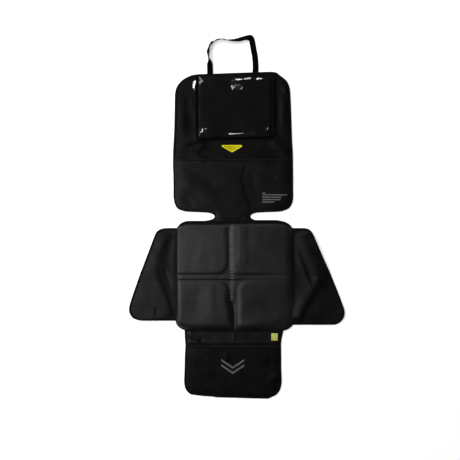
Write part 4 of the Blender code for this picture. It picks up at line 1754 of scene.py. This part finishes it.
@dataclass(frozen=True)
class SeatSection:
    """The padded seat: a leather cover over four foam pads, with sewn channels between them.

    The width of the lip, where the cover turns down to its tape, is in millimetres.
    """

    cover: float = 0.0015
    plateau: float = 0.0118
    channel_floor: float = 0.0096
    deep_floor: float = 0.0012
    dome: float = 0.0014
    bead: float = 0.0026
    groove: float = 0.0024
    seam: float = 0.0013
    slack: float = 0.0032
    inset: float = 0.0042
    lip_width: float = 4.2
    foam_inset: float = 0.004
    foam_foot: float = 0.0062
    foam_least: float = 0.0006
    foam_gap: float = 0.0006
    foam_radius: float = 0.030
    head_tape_inset: float = 0.0062
    head_tape_row: float = 0.186
    head_tape_reach: float = 0.206

    def pads(self) -> dict[str, Pad]:
        """Lay out the four pads.

        Returns:
            Each pad by the CAD node of its foam.
        """
        return {
            "foam_pad_head_left": Pad(((0, -18), (110, -18), (200, -22)), 5.5, Side.LEFT, True,
                                      Wall(14, 0.45), Wall(8, 0.8), 46.0),
            "foam_pad_head_right": Pad(((0, -19), (200, -19)), 5.5, Side.RIGHT, True,
                                       Wall(21, 1.0), Wall(6, 0.8)),
            "foam_pad_foot_left": Pad(((-200, 2), (-150, 1), (-110, -5), (-80, -13), (-52, -18), (-10, -18)),
                                      -15.5, Side.LEFT, False, Wall(20, 0.45), Wall(7, 0.9), 44.0, 0.35),
            "foam_pad_foot_right": Pad(((-200, 4), (-130, 3), (-95, 6), (-55, 11), (-10, 11)),
                                       -15.5, Side.RIGHT, False, Wall(13.5, 1.0), Wall(9, 1.0), 44.0, 0.6),
        }

    def sides(self) -> tuple[tuple[float, float, Wall, Callable[[Array, Array], Array]], ...]:
        """Describe the outer slopes: left near the head, left near the foot, right, foot and head.

        Returns:
            For each, its tape's width in millimetres and its lip's share of the height, then its slope and
            how far a place is from it.
        """
        return (
            (3.2, 0.95, Wall(18.0, 1.0), lambda x, y: x + 0.2199 + 3.0 * np.maximum(-y, 0.0)),
            (2.6, 0.56, Wall(11.0, 1.0), lambda x, y: x + 0.2199 + 3.0 * np.maximum(y, 0.0)),
            (4.2, 0.12, Wall(15.0, 1.0), lambda x, y: 0.2254 - x),
            (4.2, 0.12, Wall(14.0, 1.0), lambda x, y: y + 0.2069),
            (11.5, 0.35, Wall(11.0, 1.0), lambda x, y: 0.2084 - y),
        )

    def outer(self, x: Array, y: Array, edge: Array) -> Array:
        """Return the share of the height that the outer slopes leave at each place.

        Args:
            x: Place across.
            y: Place along.
            edge: Distance from the seat's outline.

        Returns:
            The share, from 0 at the tape to 1.
        """
        blend = 8.0
        total, lip, width, gap = (np.zeros(x.shape) for _ in range(4))
        for tape, share, wall, away in self.sides():
            pull = 1.0 / (np.maximum(away(x, y) / MM, 0.0) + blend) ** 3
            total += pull
            lip += pull * share
            width += pull * wall.width
            gap += pull * tape
        inset = np.maximum(edge / MM - gap / total, 0.0)
        lip = lip / total
        steep = wall_rise(inset / self.lip_width, np.full(x.shape, 0.9))
        return lip * steep + (1.0 - lip) * wall_rise(inset * total / width, np.ones(x.shape))

    def floor(self, x: Array, y: Array) -> Array:
        """Shape the channels' floor, with the sewn bead that runs across and the groove beside it.

        The numbers are millimetres. The lengthwise channel deepens over 70 from y -40 towards the foot. The
        bead climbs from y 6 and drops at y -15, is lower to the right of x 6 and ends 219 from the middle.

        Args:
            x: Places across.
            y: Places along.

        Returns:
            The floor's height at each place, in metres.
        """
        u, v = x / MM, y / MM
        deep = smoothstep((-40.0 - v) / 70.0)
        level = self.channel_floor + (self.deep_floor - self.channel_floor) * deep
        ends = smoothstep((219.0 - np.abs(u)) / 16.0)
        up = np.clip((6.0 - v) / 15.0, 0.0, 1.0)
        down = smoothstep((v + 15.5) / 4.5)
        strength = (1.0 - 0.75 * smoothstep((u - 6.0) / 40.0)) * ends
        groove = np.exp(-(((v + 15.0) / 2.6) ** 2))
        seam = self.seam * ends * np.exp(-(((v - 3.5) / 3.2) ** 2))
        return level + strength * (self.bead * up * down - self.groove * groove) - seam

    def surface(self) -> Surface:
        """Put the cover's upper face together from its pads, channels, slopes and wrinkles.

        Returns:
            Its height at each place.
        """
        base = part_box("seat_cover")[0].z + self.cover
        pads = list(self.pads().values())
        outline = Relief((), Plan("seat_binding").loop(OUTLINE_STEP)).inside
        wrinkles = Relief((
            Ripple(0.16, 75, 41),
            Ripple(0.05, 24, 42),
            Crease(((-14, -205), (-10, -190), (-14, -170)), 1.6, 5, 5),
            Crease(((27, 200), (26, 110), (25, 36)), 1.3, 24, 14, 0.1),
            Crease(((44, 100), (43, 76), (40, 46)), 0.6, 7, 7),
            Crease(((55, 192), (54, 160), (52, 128)), -0.4, 7, 7),
            Crease(((22, -186), (100, -175), (160, -162), (206, -145)), 2.8, 24, 16),
            Swell(-84, 118, 0.5, 24, 40),
            Swell(-118, 96, 0.7, 30, 24, 20),
            Swell(-200, -105, 0.9, 22, 70),
            Swell(-136, -98, -2.2, 32, 60),
            Swell(-78, -85, 0.9, 20, 56),
            Swell(-64, -90, -0.8, 13, 46),
            Swell(96, 140, 0.7, 40, 24),
            Swell(120, 70, -0.6, 50, 40),
            Swell(110, -90, -0.9, 56, 44),
        ), None, base=self.slack)

        def height(x: Array, y: Array) -> Array:
            """Raise the pads over the channels' floor and slope them down to the tape.

            Args:
                x: Places across.
                y: Places along.

            Returns:
                The height at each place.
            """
            edge = outline(x, y)
            rise = np.maximum.reduce([pad.rise(x, y) for pad in pads])
            floor = self.floor(x, y)
            u, v = x / 0.219, y / 0.206
            crown = self.dome * np.clip(1 - u * u, 0, 1) * np.clip(1 - v * v, 0, 1)
            slump = Swell(240, -125, 10.0, 150, 100).rise(x, y) + Swell(236, 110, 2.2, 140, 90).rise(x, y)
            total = floor + (self.plateau + crown - slump - floor) * rise
            settled = smoothstep((edge - self.inset) / 0.012)
            return base + self.outer(x, y, edge) * total + (wrinkles(x, y) - self.slack + 0.0006) * settled

        return height

    def build(self, bench: Bench) -> Surface:
        """Build the seat section.

        Args:
            bench: Where finishes come from.

        Returns:
            The height of the cover's upper face.
        """
        finishes = bench.finishes
        surface = self.surface()
        cover = laid_sheet("seat_leather", Plan("seat_cover"), surface, self.cover, cell=0.0022)
        bench.sign(cover, finishes.leather, "soft_leather", "seat_cover")
        EdgeTape(leaf=0.0038, stitch_inset=0.0024).build(bench, "seat", "seat_binding", lambda x, y: 0.0 * x)
        self.head_tape(bench, surface)
        least = self.foam_foot + self.foam_least

        def below_cover(x: Array, y: Array) -> Array:
            """Return the height just below the cover, held above the foam's own foot."""
            return np.maximum(surface(x, y) - self.cover - self.foam_gap, least)

        for node in self.pads():
            low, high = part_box(node)
            first = Vector((low.x + self.foam_inset, low.y + self.foam_inset, self.foam_foot))
            last = Vector((high.x - self.foam_inset, high.y - self.foam_inset, high.z))
            block = padded_block(f"{node}_block", first, last, self.foam_radius, below_cover)
            bench.sign(block, finishes.foam, "grey_foam", node)
        for node, material, slot in (("seat_underlay", finishes.foam, "grey_foam"),
                                     ("seat_backing", finishes.backing, "rubber_dots")):
            sheet = conformed(f"{node}_sheet", node, lambda x, y, n=node: 0.0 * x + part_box(n)[0].z, 0)
            soften(sheet, 0.0004)
            bench.sign(sheet, material, slot, node)
            if node == "seat_backing":
                declare(Plan(node))
        return surface

    def head_tape(self, bench: Bench, surface: Surface) -> None:
        """Build the broad tape that joins the seat's head edge to the back.

        Args:
            bench: Where finishes come from.
            surface: Height of the cover's upper face.
        """
        loop = Plan("seat_binding").loop(EdgeTape.step)
        inner = loop - outward(loop, True) * self.head_tape_inset
        at_head = inner[:, 1] > self.head_tape_row
        line = inner[at_head & (np.abs(inner[:, 0]) < self.head_tape_reach)]
        profile = np.array([(0.0052, 0.0), (0.0050, 0.0007), (0.0, 0.0010), (-0.0050, 0.0007),
                            (-0.0052, 0.0), (-0.0050, -0.0003), (0.0050, -0.0003)])
        tape = swept("seat_head_tape", line, profile, surface, False)
        bench.sign(tape, bench.finishes.tape, "black_tape")


@dataclass(frozen=True)
class Wing:
    """A side wing of plain cloth with its edge tape."""

    side: Side
    ply: float = 0.0028

    def relief(self) -> Relief:
        """Describe how the wing lies: each has one long fold, and smaller ones beside it.

        Returns:
            The wing's folds.
        """
        if self.side is Side.LEFT:
            features = (
                Crease(((-236, 170), (-275, 116), (-294, 67), (-302, 30), (-291, -15), (-264, -71),
                        (-244, -127), (-230, -162)), (4, 7.5, 9, 8, 5.5, 5, 4, 3),
                       (10, 26, 38, 38, 22, 15, 9, 7), 110, 0.08),
                Crease(((-262, 32), (-248, -8), (-236, -42)), -1.6, 6, 5),
                Swell(-226, 70, 1.4, 12, 70),
                Crease(((-289, -116), (-290, -152)), -1.2, 7, 7),
                Swell(-330, -70, 1.6, 20, 30, 20),
                Crease(((-336, -30), (-318, -70), (-306, -120)), -0.8, 14, 14),
                Ripple(0.35, 70, 51),
            )
        else:
            features = (
                Crease(((260, 175), (283, 114), (298, 66), (313, 28), (318, 0), (312, -19), (283, -73),
                        (251, -129), (238, -174)), (7, 10.5, 10.5, 10, 9, 8, 10, 10, 8),
                       (90, 90, 80, 60, 34, 20, 12.5, 12, 11), (36, 44, 40, 32, 24, 22, 34, 30, 22), 0.06),
                Crease(((236, 100), (250, 58), (261, 28), (280, -18), (286, -40)), (0.5, 3, 4, 4, 1), 5,
                       (14, 20, 23, 26, 20), 0.06),
                Swell(404, -146, 3.0, 30, 34),
                Swell(320, -120, 1.2, 16, 20),
                Ripple(0.35, 70, 52),
            )
        node = f"{self.side.name.lower()}_wing_binding"
        return Relief(features, Plan(node).loop(OUTLINE_STEP), fade=0.050, kept=0.90, base=0.0016)

    def build(self, bench: Bench) -> None:
        """Build the wing.

        Args:
            bench: Where finishes come from.
        """
        name = f"{self.side.name.lower()}_wing"
        relief = self.relief()
        plan = Plan(name)
        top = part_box(name)[1].z
        cloth = laid_sheet(f"{name}_cloth", plan, lambda x, y: relief(x, y) + top, self.ply)
        bench.sign(cloth, bench.finishes.wing_cloth, "black_cloth", name)
        tape = EdgeTape().build(bench, name, f"{name}_binding", relief)
        declare(plan)


@dataclass(frozen=True)
class FrontSection:
    """The front of the mat: a band below the seat and a flap with an open mesh pocket."""

    cloth_ply: float = 0.0015
    front_ply: float = 0.0010
    pocket_lift: float = 0.0050
    hem_width: float = 0.0090
    hem_height: float = 0.0028
    turn_height: float = 0.0020

    def relief(self) -> Relief:
        """Describe how the front lies.

        Returns:
            Its folds, swells and ripples.
        """
        return Relief((
            Crease(((-178, -214), (-152, -230), (-122, -246)), 5.0, 12, 4.5),
            Swell(-108, -240, 1.0, 9, 6),
            Crease(((0, -208), (2, -225), (0, -246)), 1.4, 4, 14),
            Crease(((-90, -232), (-20, -236), (60, -232)), 1.2, 8, 8),
            Crease(((175, -354), (150, -378), (124, -400)), 3.4, 12, 12),
            Crease(((132, -276), (140, -305), (136, -338)), -2.4, 14, 10),
            Swell(-150, -300, 1.6, 30, 26),
            Ripple(0.35, 80, 61),
            Ripple(0.12, 24, 62),
        ), Plan("front_flap_binding").loop(OUTLINE_STEP), base=0.0018, kept=0.35)

    def build(self, bench: Bench) -> tuple[Surface, Surface]:
        """Build the front section.

        Args:
            bench: Where finishes come from.

        Returns:
            The heights of the pocket's and the band's upper faces.
        """
        finishes = bench.finishes
        relief = self.relief()
        edge = relief.inside
        flap_plan, band_plan, pocket_plan = Plan("front_flap"), Plan("front_band"), Plan("front_pocket")
        flap_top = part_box("front_flap")[1].z
        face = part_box("front_band")[1].z
        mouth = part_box("front_pocket")[1].y
        flap = laid_sheet("front_flap_cloth", flap_plan, lambda x, y: relief(x, y) + flap_top, self.cloth_ply)
        bench.sign(flap, finishes.wing_cloth, "black_cloth", "front_flap")

        def band_surface(x: Array, y: Array) -> Array:
            """Lay the band on the front, with its turned edge just above the pocket's mouth.

            Args:
                x: Places across.
                y: Places along.

            Returns:
                The height at each place.
            """
            into, out = (mouth + 0.022 - y) / 0.012, (mouth + 0.010 - y) / 0.009
            turned = self.turn_height * smoothstep(into) * (1.0 - smoothstep(out))
            return relief(x, y) + face + turned * smoothstep(edge(x, y) / 0.02)

        band = laid_sheet("front_band_cloth", band_plan, band_surface, self.front_ply)
        bench.sign(band, finishes.wing_cloth, "black_cloth", "front_band")
        own = Relief((
            Crease(((-28, -284), (-24, -304), (-30, -322)), 2.4, 6, 14),
            Crease(((-110, -300), (-96, -330), (-100, -372)), 1.8, 20, 16),
            Ripple(0.22, 60, 63),
            Ripple(0.05, 18, 64),
        ), None, base=0.0008)

        def pocket_surface(x: Array, y: Array) -> Array:
            """Lay the mesh on the front, standing open towards its mouth.

            Args:
                x: Places across.
                y: Places along.

            Returns:
                The height at each place.
            """
            inside = edge(x, y)
            room = smoothstep(inside / 0.040)
            lift = self.pocket_lift * (0.35 + 0.65 * smoothstep((y + 0.400) / 0.130))
            return relief(x, y) + face + room * lift + own(x, y) * (0.3 + 0.7 * smoothstep(inside / 0.022))

        pocket = laid_sheet("front_pocket_mesh", pocket_plan, pocket_surface, self.front_ply)
        bench.sign(pocket, finishes.mesh_cloth, "black_mesh", "front_pocket")
        hem = pocket_hem(bench, "front_pocket", "front_pocket_hem", pocket_surface, self.hem_width,
                         self.hem_height)
        tape = EdgeTape().build(bench, "front", "front_flap_binding", relief)
        declare(flap_plan)
        declare(band_plan)
        declare(pocket_plan)
        return pocket_surface, band_surface


# Studio


@dataclass(frozen=True)
class Softbox:
    """A square studio light that faces the mat."""

    name: str
    place: tuple[float, float, float]
    size: float
    power: float

    def build(self, target: Vector) -> None:
        """Add the light.

        Args:
            target: Where it faces.
        """
        place = Vector(self.place)
        data = bpy.data.lights.new(self.name, "AREA")
        data.shape = "SQUARE"
        data.size = self.size
        data.energy = self.power
        light = bpy.data.objects.new(self.name, data)
        bpy.context.scene.collection.objects.link(light)
        light.location = place
        light.rotation_mode = "QUATERNION"
        light.rotation_quaternion = (place - target).to_track_quat("Z", "Y")


@dataclass(frozen=True)
class Studio:
    """The pale floor, the lights and the camera straight above the mat."""

    centre: tuple[float, float] = (-0.015, 0.1725)
    height: float = 3.20
    lens: float = 66.8
    sky: float = 0.03
    glow: float = 0.40
    overhead: float = 1.5
    overhead_spread: float = math.radians(60)
    overhead_tilt: float = math.radians(-16)
    floor_size: float = 14.0
    floor_gap: float = 0.0002

    def floor(self) -> None:
        """Add the pale floor."""
        bpy.ops.object.select_all(action="DESELECT")
        bpy.ops.mesh.primitive_plane_add(size=self.floor_size, location=(0.0, 0.0, -self.floor_gap))
        floor = bpy.context.object
        floor.name = "floor"
        n = Nodes("pale_floor")
        patch = n.add("ShaderNodeTexNoise", Vector=n.object_place(), Scale=3.0, Detail=2.0).outputs["Fac"]
        colour = n.tinted(patch, (0.90, 0.90, 0.90), (0.94, 0.94, 0.94))
        shader = n.add("ShaderNodeBsdfPrincipled", Base_Color=colour, Roughness=0.9)
        n.feed(shader, "Specular IOR Level", 0.0)
        n.feed(shader, "Emission Color", (1.0, 1.0, 1.0, 1.0))
        n.feed(shader, "Emission Strength", self.glow)
        floor.data.materials.append(n.finish(shader.outputs[0]))

    def lights(self) -> None:
        """Add the softboxes, the even overhead light and the dim surroundings."""
        middle = Vector((self.centre[0], self.centre[1], 0.0))
        for box in (
            Softbox("key_left", (-1.05, 0.05, 1.55), 0.45, 12.0),
            Softbox("rim_left", (-1.15, 1.50, 1.50), 0.35, 11.0),
            Softbox("key_head", (0.08, 2.70, 1.35), 0.50, 7.5),
        ):
            box.build(middle)
        sun = bpy.data.lights.new("overhead", "SUN")
        sun.energy = self.overhead
        sun.angle = self.overhead_spread
        light = bpy.data.objects.new("overhead", sun)
        bpy.context.scene.collection.objects.link(light)
        light.rotation_euler = (self.overhead_tilt, self.overhead_tilt, 0.0)
        light.visible_glossy = False
        world = bpy.data.worlds.new("surroundings")
        world.use_nodes = True
        ground = world.node_tree.nodes["Background"]
        ground.inputs["Color"].default_value = (1.0, 1.0, 1.0, 1.0)
        ground.inputs["Strength"].default_value = self.sky
        bpy.context.scene.world = world

    def camera(self) -> None:
        """Add the camera, straight above the middle of the picture."""
        data = bpy.data.cameras.new("camera")
        data.lens = self.lens
        data.sensor_width = 36.0
        data.sensor_fit = "HORIZONTAL"
        data.clip_end = 60.0
        camera = bpy.data.objects.new("camera", data)
        bpy.context.scene.collection.objects.link(camera)
        camera.location = (*self.centre, self.height)
        bpy.context.scene.camera = camera

    def build(self) -> None:
        """Set up the whole studio."""
        self.floor()
        self.lights()
        self.camera()
        scene = bpy.context.scene
        scene.view_settings.view_transform = "Standard"
        scene.view_settings.look = "None"


def main() -> None:
    """Build the mat and its studio in order."""
    logging.basicConfig(level=logging.INFO, format="%(name)s %(message)s")
    bench = Bench(Finishes())
    Studio().build()
    back, pocket = BackSection().build(bench)
    TabletPocket().build(bench, back)
    HangingStrap().build(bench)
    seat = SeatSection().build(bench)
    for side in Side:
        Wing(side).build(bench)
    flap, band = FrontSection().build(bench)
    SmallParts().build(bench, back, pocket, flap, band, seat)


if __name__ == "__main__":
    main()
